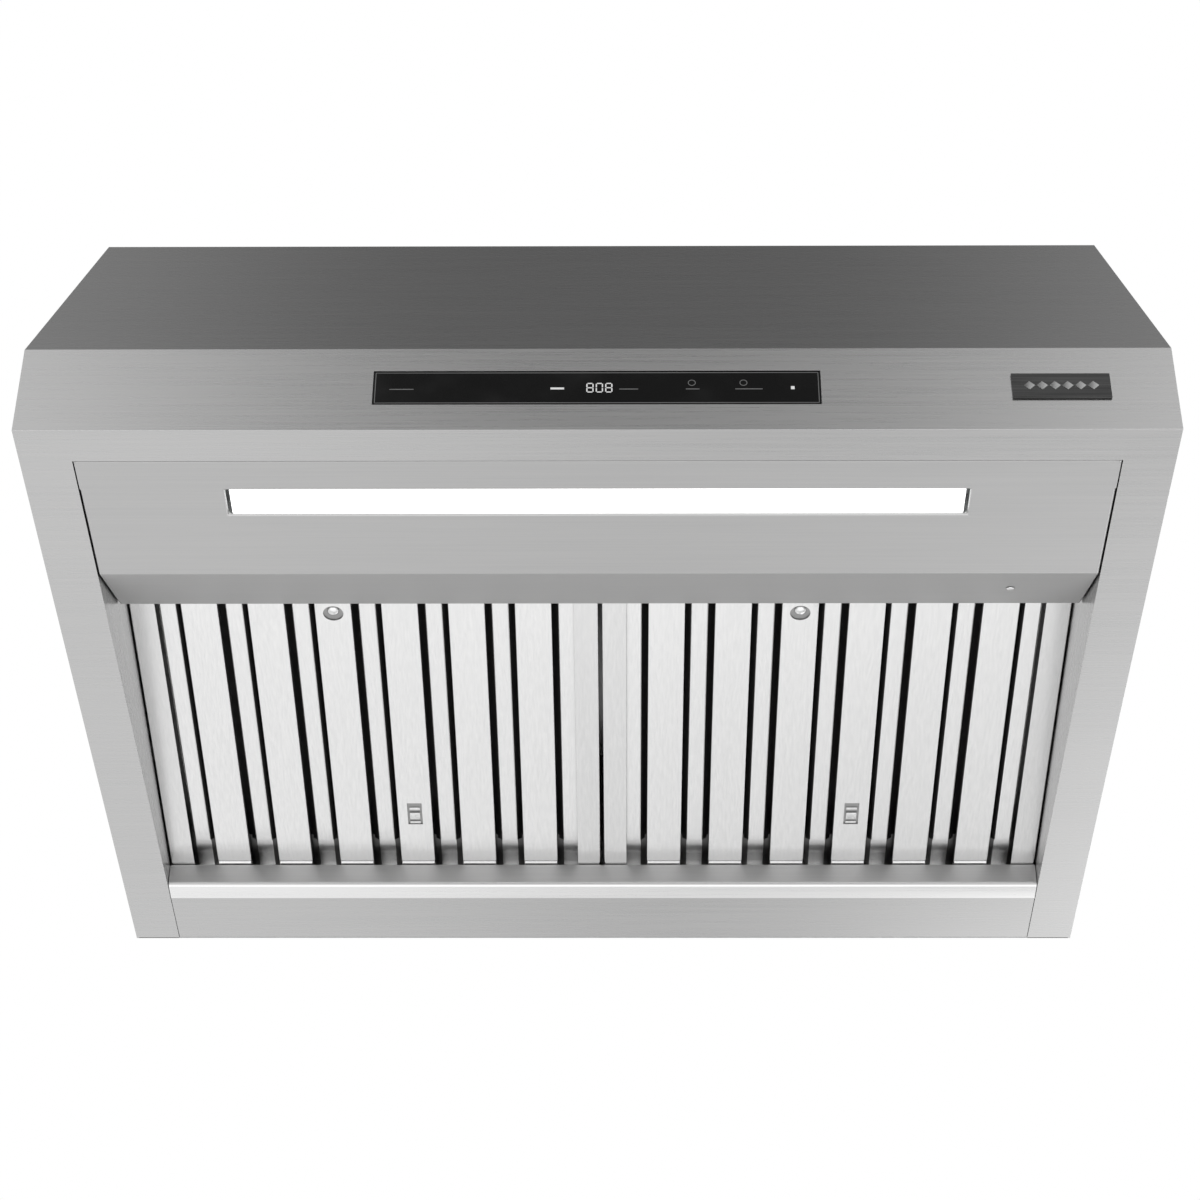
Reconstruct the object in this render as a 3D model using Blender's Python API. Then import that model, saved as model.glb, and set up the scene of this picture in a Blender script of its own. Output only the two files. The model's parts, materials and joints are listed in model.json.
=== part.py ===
# Under cabinet range hood: a bent stainless canopy with a sloped face, a flush light panel, two hinged
# baffle filters, a twin-inlet blower and a round duct collar with backdraft flaps.
#
# Everything is laid out in a bench frame: X to the right from the middle, Y backwards from the front
# edge, Z upwards from the underside. The datum empty then puts the object's origin at the middle of the
# top rear edge, where the wall meets the cabinet's underside.

import math

import bmesh
import bpy
from mathutils import Vector

# Canopy, in metres
WIDTH = 0.762
DEPTH = 0.635
HEIGHT = 0.356
BAND_HEIGHT = 0.071
SLOPE_RUN = 0.196
SHEET = 0.0012
GAP = 0.0004
FRONT_FLANGE = 0.0315
SIDE_FLANGE = 0.035
TOP_RETURN = 0.020
INNER_WALL_HEIGHT = 0.070
HALF = WIDTH / 2
INNER_HALF = HALF - SIDE_FLANGE
BACK_FACE = DEPTH - SHEET

# Light panel with its rising lip, and the light bar
LIGHT_PANEL_BACK = 0.1525
LIP_BACK = 0.234
LIP_RISE = 0.0366
LIP_UPSTAND = 0.020
PANEL_SIDE_GAP = 0.0016
LIGHT_LENGTH = 0.497
LIGHT_WIDTH = 0.026
LIGHT_Y = 0.0743
LIGHT_RECESS = 0.0005

# Rear trim: flange, shallow chamfer, gutter wall, filter ledge and upstand
FILTER_TILT = math.radians(7.6)
TRIM_CREASE = 0.5735
TRIM_FRONT = 0.555
TRIM_CHAMFER_RISE = 0.001
LEDGE_HEIGHT = 0.020
LEDGE_BACK = 0.578
LEDGE_DROP = (LEDGE_BACK - TRIM_FRONT) * math.tan(FILTER_TILT)
TRIM_UPSTAND = 0.031

# Control strip and badge
GLASS_LENGTH = 0.294
GLASS_HEIGHT = 0.0286
GLASS_THICKNESS = 0.003
CONTROL_Z = 0.0366
BADGE_LENGTH = 0.065
BADGE_HEIGHT = 0.0216
BADGE_X = 0.305
BADGE_THICKNESS = 0.0012

# Filters, in their own frame: origin on the hinge line, Y backwards along the filter, Z out of its top
FILTER_HINGE_Y = TRIM_FRONT
FILTER_HINGE_Z = LEDGE_HEIGHT + 0.0008
FILTER_SPLIT_HALF = 0.170
FILTER_WALL_HALF = 0.1731
FILTER_FRONT = -0.3117
FILTER_REAR = 0.0172
FILTER_THICKNESS = 0.014
FILTER_SHEET = 0.0008
FILTER_SPLIT = 0.003
END_RAIL = 0.0108
SPLIT_RAIL = 0.0178
WALL_RAIL = 0.0185
BAFFLE_PITCH = 0.049
NEAR_BAFFLES = 6
FAR_BAFFLES = 7
NEAR_WIDTH = 0.027
NEAR_FLOOR = 0.0013
NEAR_TOP = 0.0062
FAR_WIDTH = 0.0115
FAR_SPREAD = 0.0245
FAR_FLOOR = 0.0074
FAR_TOP = 0.0117
FRONT_STRIP = 0.020
REAR_STRIP = 0.040
STRIP_BOTTOM = 0.0100
STRIP_OVERLAP = 0.004
NEAR_STRIP = END_RAIL - 0.002
NEAR_INSET = 0.0005
GRID_SIDE_GAP = 0.0016
GRID_END_GAP = 0.0014

# Filter latches: a slider inside a near baffle, a thumb tab in its slot and a bolt to the filter's end
LATCH_X = BAFFLE_PITCH / 2
FRONT_LATCH_Y = -0.2825
REAR_LATCH_Y = -0.059
LATCH_SLOT = (0.0115, 0.025)
LATCH_TAB = (0.0085, 0.0075)
ROUND_SLOT = 0.0075
ROUND_TAB = 0.0044
LATCH_TAB_BOTTOM = 0.0006
LATCH_SLIDER = (0.018, 0.030)
LATCH_FLOOR = 0.0025
LATCH_ROOF = 0.0060
LATCH_BOLT_WIDTH = 0.005
LATCH_TRAVEL = 0.005
LATCH_REACH = 0.004

# Blower: a wheel on an axis along X inside a spiral housing that blows upwards
BLOWER_Y = 0.440
BLOWER_Z = 0.205
BLOWER_HALF = 0.095
CUTOFF_ANGLE = math.radians(110)
CUTOFF_RADIUS = 0.098
SPIRAL_RADIUS = 0.138
SPIRAL_POINTS = 26
NECK_FRONT = 0.400
NECK_REAR = 0.600
NECK_TOP = 0.352
INLET_RADIUS = 0.076
WHEEL_RADIUS = 0.088
WHEEL_BORE = 0.080
WHEEL_HALF = 0.085
WHEEL_RIM = 0.005
WHEEL_STEPS = 48
SHAFT_RADIUS = 0.006
MOTOR_RADIUS = 0.045
MOTOR_START = 0.1146
MOTOR_END = 0.190
SPIDER_X = 0.112

# Duct collar with its two half-round flaps
COLLAR_Y = 0.500
COLLAR_RADIUS = 0.1016
COLLAR_WALL = 0.0010
COLLAR_HEIGHT = 0.045
COLLAR_FLANGE = 0.0145
FLAP_HEIGHT = 0.010
FLAP_RADIUS = 0.0985
PIN_RADIUS = 0.002
KNUCKLE_CLEARANCE = 0.0004

CABLE_HOLE = 0.0112
WALL_CABLE_Z = 0.300
CABLE_X = 0.250
ROUND = 48


def remove_everything():
    for obj in list(bpy.data.objects):
        bpy.data.objects.remove(obj, do_unlink=True)


# Materials

def finish(name, colour, roughness, metallic=0.0):
    material = bpy.data.materials.new(name)
    material.use_nodes = True
    shader = material.node_tree.nodes["Principled BSDF"]
    shader.inputs["Base Color"].default_value = (*colour, 1.0)
    shader.inputs["Roughness"].default_value = roughness
    shader.inputs["Metallic"].default_value = metallic
    material.diffuse_color = (*colour, 1.0)
    return material


def hood_finishes():
    return {
        "brushed steel": finish("brushed steel", (0.56, 0.56, 0.57), 0.32, 1.0),
        "bright steel": finish("bright steel", (0.80, 0.80, 0.81), 0.25, 1.0),
        "galvanised": finish("galvanised", (0.48, 0.49, 0.50), 0.50, 1.0),
        "black glass": finish("black glass", (0.01, 0.01, 0.012), 0.08),
        "light diffuser": finish("light diffuser", (0.95, 0.95, 0.93), 0.45),
        "dark badge": finish("dark badge", (0.09, 0.09, 0.10), 0.35, 0.6),
        "circuit board": finish("circuit board", (0.05, 0.20, 0.10), 0.45),
        "black plastic": finish("black plastic", (0.03, 0.03, 0.03), 0.50),
        "grey plastic": finish("grey plastic", (0.30, 0.31, 0.32), 0.50),
        "motor paint": finish("motor paint", (0.12, 0.12, 0.13), 0.45, 0.4),
        "aluminium": finish("aluminium", (0.75, 0.76, 0.77), 0.35, 1.0),
    }


# Mesh tools

def along(axis, a, b, depth):
    """A point of an outline: (y, z) for a prism along X, (x, z) along Y and (x, y) along Z."""
    if axis == "X":
        return (depth, a, b)
    if axis == "Y":
        return (a, depth, b)
    return (a, b, depth)


def finished_mesh(name, bm, smooth_angle=None):
    bmesh.ops.recalc_face_normals(bm, faces=bm.faces)
    mesh = bpy.data.meshes.new(name)
    bm.to_mesh(mesh)
    bm.free()
    if smooth_angle is not None:
        mesh.shade_smooth()
        mesh.set_sharp_from_angle(angle=smooth_angle)
    return mesh


def prism(name, outline, axis, low, high, smooth_angle=None):
    bm = bmesh.new()
    face = bm.faces.new([bm.verts.new(along(axis, a, b, low)) for a, b in outline])
    grown = bmesh.ops.extrude_face_region(bm, geom=[face])["geom"]
    moved = [item for item in grown if isinstance(item, bmesh.types.BMVert)]
    bmesh.ops.translate(bm, vec=Vector(along(axis, 0, 0, high - low)), verts=moved)
    return finished_mesh(name, bm, smooth_angle)


def box_mesh(name, low, high):
    corners = [(low[0], low[1]), (high[0], low[1]), (high[0], high[1]), (low[0], high[1])]
    return prism(name, corners, "Z", low[2], high[2])


def turned(name, profile, steps=ROUND):
    """A closed outline of (radius, height) points spun about Z."""
    bm = bmesh.new()
    ring = [bm.verts.new((radius, 0, height)) for radius, height in profile]
    edges = [bm.edges.new((ring[i - 1], ring[i])) for i in range(len(ring))]
    bmesh.ops.spin(
        bm, geom=ring + edges, cent=(0, 0, 0), axis=(0, 0, 1), angle=math.tau, steps=steps, use_merge=True
    )
    bmesh.ops.remove_doubles(bm, verts=bm.verts, dist=0.000001)
    return finished_mesh(name, bm, math.radians(35))


def circle(radius, centre=(0.0, 0.0), steps=ROUND):
    turns = [math.tau * i / steps for i in range(steps)]
    return [(centre[0] + radius * math.cos(t), centre[1] + radius * math.sin(t)) for t in turns]


def rectangle(size, centre):
    half = (size[0] / 2, size[1] / 2)
    signs = ((-1, -1), (1, -1), (1, 1), (-1, 1))
    return [(centre[0] + a * half[0], centre[1] + b * half[1]) for a, b in signs]


def offset_line(points, distance):
    """The same bent line, moved to the right of its direction by distance, with mitred corners."""
    normals = []
    for start, end in zip(points, points[1:]):
        run = Vector((end[0] - start[0], end[1] - start[1])).normalized()
        normals.append(Vector((run.y, -run.x)))
    moved = []
    for i, point in enumerate(points):
        before = normals[max(i - 1, 0)]
        after = normals[min(i, len(normals) - 1)]
        mitre = (before + after).normalized()
        shift = mitre * (distance / mitre.dot(after))
        moved.append((point[0] + shift.x, point[1] + shift.y))
    return moved


def sheet_outline(points, thickness):
    """The cross-section of a bent sheet whose visible side follows the points."""
    return points + offset_line(points, thickness)[::-1]


# Objects

def put(name, mesh, material, parent, location=(0, 0, 0), rotation=(0, 0, 0)):
    obj = bpy.data.objects.new(name, mesh)
    mesh.materials.append(material)
    obj.location = location
    obj.rotation_euler = rotation
    obj.parent = parent
    bpy.context.scene.collection.objects.link(obj)
    return obj


def empty(name, parent=None, location=(0, 0, 0), rotation=(0, 0, 0)):
    obj = bpy.data.objects.new(name, None)
    obj.location = location
    obj.rotation_euler = rotation
    obj.parent = parent
    obj.empty_display_size = 0.05
    bpy.context.scene.collection.objects.link(obj)
    return obj


def shape_with(target, mesh, operation, location=None, rotation=None):
    """Cuts a helper mesh from the target (DIFFERENCE) or joins it on (UNION)."""
    helper = bpy.data.objects.new(f"{target.name} {operation.lower()} {len(target.modifiers)}", mesh)
    helper.parent = target.parent
    helper.location = target.location if location is None else location
    helper.rotation_euler = target.rotation_euler if rotation is None else rotation
    helper.hide_render = True
    helper.display_type = "WIRE"
    bpy.context.scene.collection.objects.link(helper)
    modifier = target.modifiers.new(mesh.name, "BOOLEAN")
    modifier.operation = operation
    modifier.solver = "EXACT"
    modifier.object = helper


def cut(target, mesh, location=None, rotation=None):
    shape_with(target, mesh, "DIFFERENCE", location, rotation)


def join(target, mesh, location=None, rotation=None):
    shape_with(target, mesh, "UNION", location, rotation)


def hollow_box(name, low, high, wall, open_side, material, parent):
    """A box with one open side: top (+1) or bottom (-1)."""
    obj = put(name, box_mesh(name, low, high), material, parent)
    inner_low = [value + wall for value in low]
    inner_high = [value - wall for value in high]
    if open_side > 0:
        inner_high[2] = high[2] + wall
    else:
        inner_low[2] = low[2] - wall
    cut(obj, box_mesh(f"{name} inside", inner_low, inner_high))
    return obj


# Canopy

def canopy_line():
    """The visible side of the front sheet, from the underside flange up to the top return."""
    return [
        (FRONT_FLANGE, 0.0),
        (0.0, 0.0),
        (0.0, BAND_HEIGHT),
        (SLOPE_RUN, HEIGHT),
        (SLOPE_RUN + TOP_RETURN, HEIGHT),
    ]


def front_canopy(datum, finishes):
    outline = sheet_outline(canopy_line(), SHEET)
    shell = prism("front_canopy", outline, "X", -HALF, HALF)
    canopy = put("front_canopy", shell, finishes["brushed steel"], datum)
    window_half = (GLASS_LENGTH / 2 + GAP, GLASS_HEIGHT / 2 + GAP)
    window = box_mesh(
        "display window",
        (-window_half[0], -SHEET, CONTROL_Z - window_half[1]),
        (window_half[0], 2 * SHEET, CONTROL_Z + window_half[1]),
    )
    cut(canopy, window)


def side_panel(side, datum, finishes):
    name = "side_panel_right" if side > 0 else "side_panel_left"
    inside = offset_line(canopy_line(), SHEET + GAP)
    flange_start = FRONT_FLANGE + GAP
    top_start = SLOPE_RUN + TOP_RETURN + GAP
    wall_outline = [
        (DEPTH, 0.0),
        (DEPTH, HEIGHT),
        (top_start, HEIGHT),
        (top_start, inside[3][1]),
        inside[3],
        inside[2],
        inside[1],
        (flange_start, inside[1][1]),
        (flange_start, 0.0),
    ]
    reach = sorted((side * HALF, side * (HALF - SHEET)))
    panel = put(name, prism(name, wall_outline, "X", *reach), finishes["brushed steel"], datum)
    channel_line = [(side * HALF, 0.0), (side * INNER_HALF, 0.0), (side * INNER_HALF, INNER_WALL_HEIGHT)]
    channel = sheet_outline(channel_line, side * SHEET)
    join(panel, prism("channel", channel, "Y", flange_start, BACK_FACE - GAP))


def top_panel(datum, finishes):
    reach = HALF - SHEET - GAP
    front = SLOPE_RUN + TOP_RETURN + GAP
    low = (-reach, front, HEIGHT - SHEET)
    panel = put("top_panel", box_mesh("top_panel", low, (reach, DEPTH, HEIGHT)), finishes["galvanised"], datum)
    span = (HEIGHT - 2 * SHEET, HEIGHT + SHEET)
    duct_hole = circle(COLLAR_RADIUS - COLLAR_WALL, (0, COLLAR_Y))
    cut(panel, prism("duct hole", duct_hole, "Z", *span))
    for x in (-0.335, 0.335):
        for y in (0.255, 0.600):
            cut(panel, prism("cabinet screw hole", circle(0.004, (x, y), 16), "Z", *span))
    cut(panel, prism("cable hole", circle(CABLE_HOLE, (CABLE_X, 0.545), 24), "Z", *span))


def back_panel(datum, finishes):
    reach = HALF - SHEET - GAP
    low = (-reach, BACK_FACE, 0.0)
    high = (reach, DEPTH, HEIGHT - SHEET - GAP)
    panel = put("back_panel", box_mesh("back_panel", low, high), finishes["galvanised"], datum)
    cable_hole = circle(CABLE_HOLE, (CABLE_X, WALL_CABLE_Z), 24)
    cut(panel, prism("wall cable hole", cable_hole, "Y", BACK_FACE - SHEET, DEPTH + SHEET))


def knockout_plug(name, location, rotation, datum, finishes):
    """A disc that closes a cable hole flush from inside: its boss fills the hole."""
    boss = CABLE_HOLE - 0.0006
    head = CABLE_HOLE + 0.0026
    rise = SHEET + GAP / 2
    profile = [(0.0, rise), (boss, rise), (boss, 0.0), (head, 0.0), (head, -SHEET), (0.0, -SHEET)]
    put(name, turned(name, profile, 24), finishes["black plastic"], datum, location, rotation)


def rear_trim(datum, finishes):
    line = [
        (BACK_FACE - GAP, 0.0),
        (TRIM_CREASE, 0.0),
        (TRIM_FRONT + 0.002, TRIM_CHAMFER_RISE),
        (TRIM_FRONT, TRIM_CHAMFER_RISE + 0.002),
        (TRIM_FRONT, LEDGE_HEIGHT),
        (LEDGE_BACK, LEDGE_HEIGHT - LEDGE_DROP),
        (LEDGE_BACK, LEDGE_HEIGHT - LEDGE_DROP + TRIM_UPSTAND),
    ]
    reach = INNER_HALF - GAP
    outline = sheet_outline(line, SHEET)
    put("rear_trim", prism("rear_trim", outline, "X", -reach, reach), finishes["brushed steel"], datum)


def light_panel(datum, finishes):
    line = [
        (FRONT_FLANGE + 2 * GAP, 0.0),
        (LIGHT_PANEL_BACK, 0.0),
        (LIP_BACK, LIP_RISE),
        (LIP_BACK, LIP_RISE + LIP_UPSTAND),
    ]
    reach = INNER_HALF - PANEL_SIDE_GAP
    outline = sheet_outline(line, -SHEET)
    bent = prism("light_panel", outline, "X", -reach, reach)
    panel = put("light_panel", bent, finishes["brushed steel"], datum)
    slot_low = (-LIGHT_LENGTH / 2, LIGHT_Y - LIGHT_WIDTH / 2, -SHEET)
    slot_high = (LIGHT_LENGTH / 2, LIGHT_Y + LIGHT_WIDTH / 2, 2 * SHEET)
    cut(panel, box_mesh("light slot", slot_low, slot_high))
    slope = math.atan2(LIP_RISE, LIP_BACK - LIGHT_PANEL_BACK)
    spot = lip_screw_place()
    cut(panel, prism("lip screw hole", circle(0.0019, steps=16), "Z", -0.004, 0.004), spot, (slope, 0, 0))
    head = [(0.0, -0.0014), (0.0022, -0.0014), (0.0030, -0.0009), (0.0030, -0.0003), (0.0016, -0.0003),
            (0.0016, 0.0060), (0.0, 0.0060)]
    put("lip_screw", turned("lip_screw", head[::-1], 16), finishes["bright steel"], datum, spot, (slope, 0, 0))


def lip_screw_place():
    """On the lip's face, near its right end."""
    share = 0.45
    run = LIP_BACK - LIGHT_PANEL_BACK
    return (0.289, LIGHT_PANEL_BACK + share * run, share * LIP_RISE)


def light_bar(datum, finishes):
    half = LIGHT_LENGTH / 2
    edge = LIGHT_WIDTH / 2
    lens_low = (-half + GAP, LIGHT_Y - edge + GAP, LIGHT_RECESS)
    lens_high = (half - GAP, LIGHT_Y + edge - GAP, 0.0040)
    put("led_diffuser", box_mesh("led_diffuser", lens_low, lens_high), finishes["light diffuser"], datum)
    board_low = (-half + 0.004, LIGHT_Y - 0.006, 0.0090)
    board_high = (half - 0.004, LIGHT_Y + 0.006, 0.0106)
    put("led_board", box_mesh("led_board", board_low, board_high), finishes["circuit board"], datum)
    tray_low = (-half - 0.008, LIGHT_Y - edge - 0.006, SHEET + GAP)
    tray_high = (half + 0.008, LIGHT_Y + edge + 0.006, 0.0130)
    hollow_box("led_housing", tray_low, tray_high, 0.0010, -1, finishes["galvanised"], datum)
    driver_low = (0.275, LIGHT_Y - 0.016, SHEET + GAP)
    driver_high = (0.335, LIGHT_Y + 0.020, 0.0240)
    put("led_driver", box_mesh("led_driver", driver_low, driver_high), finishes["grey plastic"], datum)


def front_rail(datum, finishes):
    """The bent rail above the filters' front ends."""
    line = [(0.240, 0.102), (0.240, 0.083), (0.264, 0.083)]
    reach = INNER_HALF - GAP
    outline = sheet_outline(line, SHEET)
    put("filter_rail", prism("filter_rail", outline, "X", -reach, reach), finishes["galvanised"], datum)


def control_strip(datum, finishes):
    half = (GLASS_LENGTH / 2, GLASS_HEIGHT / 2)
    glass_low = (-half[0], 0.0002, CONTROL_Z - half[1])
    glass_high = (half[0], 0.0002 + GLASS_THICKNESS, CONTROL_Z + half[1])
    put("control_glass", box_mesh("control_glass", glass_low, glass_high), finishes["black glass"], datum)
    board_low = (-half[0] + 0.012, 0.0062, CONTROL_Z - 0.011)
    board_high = (half[0] - 0.012, 0.0078, CONTROL_Z + 0.011)
    put("control_board", box_mesh("control_board", board_low, board_high), finishes["circuit board"], datum)
    line = [(0.0036, -0.022), (0.0120, -0.022), (0.0120, 0.022), (0.0036, 0.022)]
    line = [(y, CONTROL_Z + z) for y, z in line]
    reach = half[0] + 0.010
    outline = sheet_outline(line, -SHEET)
    bracket = prism("control_bracket", outline, "X", -reach, reach)
    put("control_bracket", bracket, finishes["galvanised"], datum)


def badge_plate(datum, finishes):
    low = (BADGE_X - BADGE_LENGTH / 2, -0.0003 - BADGE_THICKNESS, CONTROL_Z - BADGE_HEIGHT / 2)
    high = (BADGE_X + BADGE_LENGTH / 2, -0.0003, CONTROL_Z + BADGE_HEIGHT / 2)
    put("badge_plate", box_mesh("badge_plate", low, high), finishes["dark badge"], datum)


# Blower

def spiral_point(angle):
    share = (angle - CUTOFF_ANGLE) / (math.tau - CUTOFF_ANGLE)
    radius = CUTOFF_RADIUS + share * (SPIRAL_RADIUS - CUTOFF_RADIUS)
    return (BLOWER_Y + radius * math.cos(angle), BLOWER_Z + radius * math.sin(angle))


def housing_line():
    """The inside of the spiral sheet, from the neck's front edge round to its rear edge."""
    step = (math.tau - CUTOFF_ANGLE) / SPIRAL_POINTS
    spiral = [spiral_point(CUTOFF_ANGLE + i * step) for i in range(SPIRAL_POINTS + 1)]
    return [(NECK_FRONT, NECK_TOP)] + spiral + [(NECK_REAR, NECK_TOP)]


def blower_housing(datum, finishes):
    steel = finishes["galvanised"]
    angle = math.radians(25)
    wrap = prism("blower_wrap", sheet_outline(housing_line(), SHEET), "X", -BLOWER_HALF, BLOWER_HALF, angle)
    put("blower_wrap", wrap, steel, datum)
    cheek_line = offset_line(housing_line(), SHEET)
    inlet = circle(INLET_RADIUS, (BLOWER_Y, BLOWER_Z))
    for side, label in ((-1, "left"), (1, "right")):
        face = BLOWER_HALF + GAP
        reach = sorted((side * face, side * (face + SHEET)))
        name = f"blower_cheek_{label}"
        cheek = put(name, prism(name, cheek_line, "X", *reach), steel, datum)
        cut(cheek, prism("inlet hole", inlet, "X", side * face - 2 * SHEET, side * face + 2 * SHEET))
        inlet_ring(f"inlet_ring_{label}", side, datum, finishes)


def inlet_ring(name, side, datum, finishes):
    """A pressed ring: a flat flange on the cheek, rolling inwards into the wheel's mouth."""
    flange_radius = INLET_RADIUS + 0.010
    throat = INLET_RADIUS - 0.006
    line = [(flange_radius, 0.0), (INLET_RADIUS, 0.0), (INLET_RADIUS - 0.004, -0.002), (throat, -0.008)]
    outline = sheet_outline(line, 0.0010)
    place = (side * (BLOWER_HALF + 2 * GAP + SHEET), BLOWER_Y, BLOWER_Z)
    put(name, turned(name, outline, 36), finishes["aluminium"], datum, place, (0, side * math.pi / 2, 0))


def wheel_profile():
    """(x, radius) points round the wheel's section: the rim's outer side, then its inner side and web."""
    slot_end = WHEEL_HALF - WHEEL_RIM
    middle = 0.004
    web = 0.001
    bore = SHAFT_RADIUS + 0.0003
    outer = [(x, WHEEL_RADIUS) for x in (-WHEEL_HALF, -slot_end, -middle, middle, slot_end, WHEEL_HALF)]
    right = [(x, WHEEL_BORE) for x in (WHEEL_HALF, slot_end, middle, web)]
    left = [(-x, radius) for x, radius in right[::-1]]
    return outer + right + [(web, bore), (-web, bore)] + left


def impeller(pivot, finishes):
    """A drum with two rows of slots between its blades, and a web that carries it on the shaft."""
    profile = wheel_profile()
    outer_slots = (1, 3)
    inner_slots = (14, 7)
    count = len(profile)
    bm = bmesh.new()
    rings = []
    for step in range(WHEEL_STEPS):
        angle = math.tau * step / WHEEL_STEPS
        rings.append([bm.verts.new((x, r * math.cos(angle), r * math.sin(angle))) for x, r in profile])
    for step in range(WHEEL_STEPS):
        here = rings[step]
        after = rings[(step + 1) % WHEEL_STEPS]
        for i in range(count):
            k = (i + 1) % count
            if step % 2 == 0 or i not in outer_slots + inner_slots:
                bm.faces.new((here[i], here[k], after[k], after[i]))
        if step % 2 == 1:
            for o, n in zip(outer_slots, inner_slots):
                outer = (here[o], here[o + 1], after[o + 1], after[o])
                inner = (here[n + 1], here[n], after[n], after[n + 1])
                for i in range(4):
                    bm.faces.new((outer[i], outer[i - 1], inner[i - 1], inner[i]))
    put("impeller", finished_mesh("impeller", bm), finishes["galvanised"], pivot)
    rod = circle(SHAFT_RADIUS, steps=24)
    shaft = prism("drive_shaft", rod, "X", -0.030, MOTOR_END - 0.010, math.radians(35))
    put("drive_shaft", shaft, finishes["bright steel"], pivot)


def motor(datum, finishes):
    bore = SHAFT_RADIUS + 0.0005
    length = MOTOR_END - MOTOR_START
    profile = [(bore, 0.0), (bore, length), (MOTOR_RADIUS - 0.006, length), (MOTOR_RADIUS, length - 0.006),
               (MOTOR_RADIUS, 0.006), (MOTOR_RADIUS - 0.006, 0.0)]
    centre = (MOTOR_START, BLOWER_Y, BLOWER_Z)
    put("motor", turned("motor", profile, 36), finishes["motor paint"], datum, centre, (0, math.pi / 2, 0))
    hub = prism("motor_bracket", circle(0.050, (BLOWER_Y, BLOWER_Z), 36), "X", SPIDER_X, SPIDER_X + 0.002)
    bracket = put("motor_bracket", hub, finishes["galvanised"], datum)
    foot_face = BLOWER_HALF + 3 * GAP + SHEET
    for i in range(3):
        turn = math.tau * i / 3 + math.pi / 2
        place = (0, BLOWER_Y, BLOWER_Z)
        arm = box_mesh("spider arm", (SPIDER_X, 0.040, -0.008), (SPIDER_X + 0.002, 0.098, 0.008))
        foot = box_mesh("spider foot", (foot_face, 0.0895, -0.008), (SPIDER_X + 0.001, 0.098, 0.008))
        join(bracket, arm, place, (turn, 0, 0))
        join(bracket, foot, place, (turn, 0, 0))
    hole = prism("shaft hole", circle(0.012, (BLOWER_Y, BLOWER_Z), 24), "X", SPIDER_X - 0.004, SPIDER_X + 0.006)
    cut(bracket, hole)


def capacitor(datum, finishes):
    can = [(0.0, 0.0), (0.0, 0.058), (0.0165, 0.058), (0.0175, 0.057), (0.0175, 0.0)]
    place = (0.225, 0.420, HEIGHT - SHEET - 0.0220)
    put("capacitor", turned("capacitor", can, 24), finishes["aluminium"], datum, place, (-math.pi / 2, 0, 0))
    inner = 0.0179
    strap = 0.0010
    foot = 0.032
    arc = [(inner * math.cos(t), inner * math.sin(t)) for t in (math.pi * i / 12 for i in range(12, 25))]
    top = 0.0216
    line = [(-foot, top), (-inner, top)] + arc + [(inner, top), (foot, top)]
    outline = sheet_outline(line, strap)
    clip = prism("capacitor_clip", outline, "Y", 0.018, 0.040)
    put("capacitor_clip", clip, finishes["galvanised"], datum, place)


# Duct collar

def duct_collar(datum, finishes):
    """A plain tube standing in a flat ring that screws to the top panel."""
    inner = COLLAR_RADIUS - COLLAR_WALL
    tube = [(inner, GAP), (inner, COLLAR_HEIGHT), (COLLAR_RADIUS, COLLAR_HEIGHT), (COLLAR_RADIUS, GAP)]
    ring_inner = COLLAR_RADIUS + GAP
    ring_outer = COLLAR_RADIUS + COLLAR_FLANGE
    ring = [(ring_inner, GAP), (ring_inner, GAP + SHEET), (ring_outer, GAP + SHEET), (ring_outer, GAP)]
    place = (0, COLLAR_Y, HEIGHT)
    put("duct_collar", turned("duct_collar", tube), finishes["galvanised"], datum, place)
    put("collar_flange", turned("collar_flange", ring), finishes["galvanised"], datum, place)


def damper(datum, finishes):
    """Two half-round flaps on one pin that runs front to back."""
    pin_half = COLLAR_RADIUS - COLLAR_WALL - GAP
    place = (0, COLLAR_Y, HEIGHT + FLAP_HEIGHT)
    pin = prism("damper_pin", circle(PIN_RADIUS, steps=16), "Y", -pin_half, pin_half, math.radians(35))
    put("damper_pin", pin, finishes["bright steel"], datum, place)
    for side, label in ((-1, "left"), (1, "right")):
        flap(f"damper_flap_{label}", side, empty(f"damper_{label}_pivot", datum, place), finishes)


def flap(name, side, pivot, finishes):
    inner = PIN_RADIUS + KNUCKLE_CLEARANCE
    outer = inner + 0.001
    start = 0.0045
    reach = math.acos(start / FLAP_RADIUS)
    turns = [-reach + 2 * reach * i / 24 for i in range(25)]
    half_disc = [(side * FLAP_RADIUS * math.cos(t), FLAP_RADIUS * math.sin(t)) for t in turns]
    plate = prism(name, half_disc, "Z", -outer, -inner)
    leaf = put(name, plate, finishes["aluminium"], pivot)
    tail = 0.008
    curl_turns = [math.radians(90 - 30 * i) for i in range(7)]
    curl = [(-side * inner * math.cos(t), inner * math.sin(t)) for t in curl_turns]
    line = [(side * 0.0012, inner)] + curl + [(side * tail, -inner)]
    outline = sheet_outline(line, side * 0.001)
    spans = ((-0.080, -0.045), (0.005, 0.040)) if side < 0 else ((-0.040, -0.005), (0.045, 0.080))
    for low, high in spans:
        join(leaf, prism("knuckle", outline, "Y", low, high))


# Electrical boxes

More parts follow.
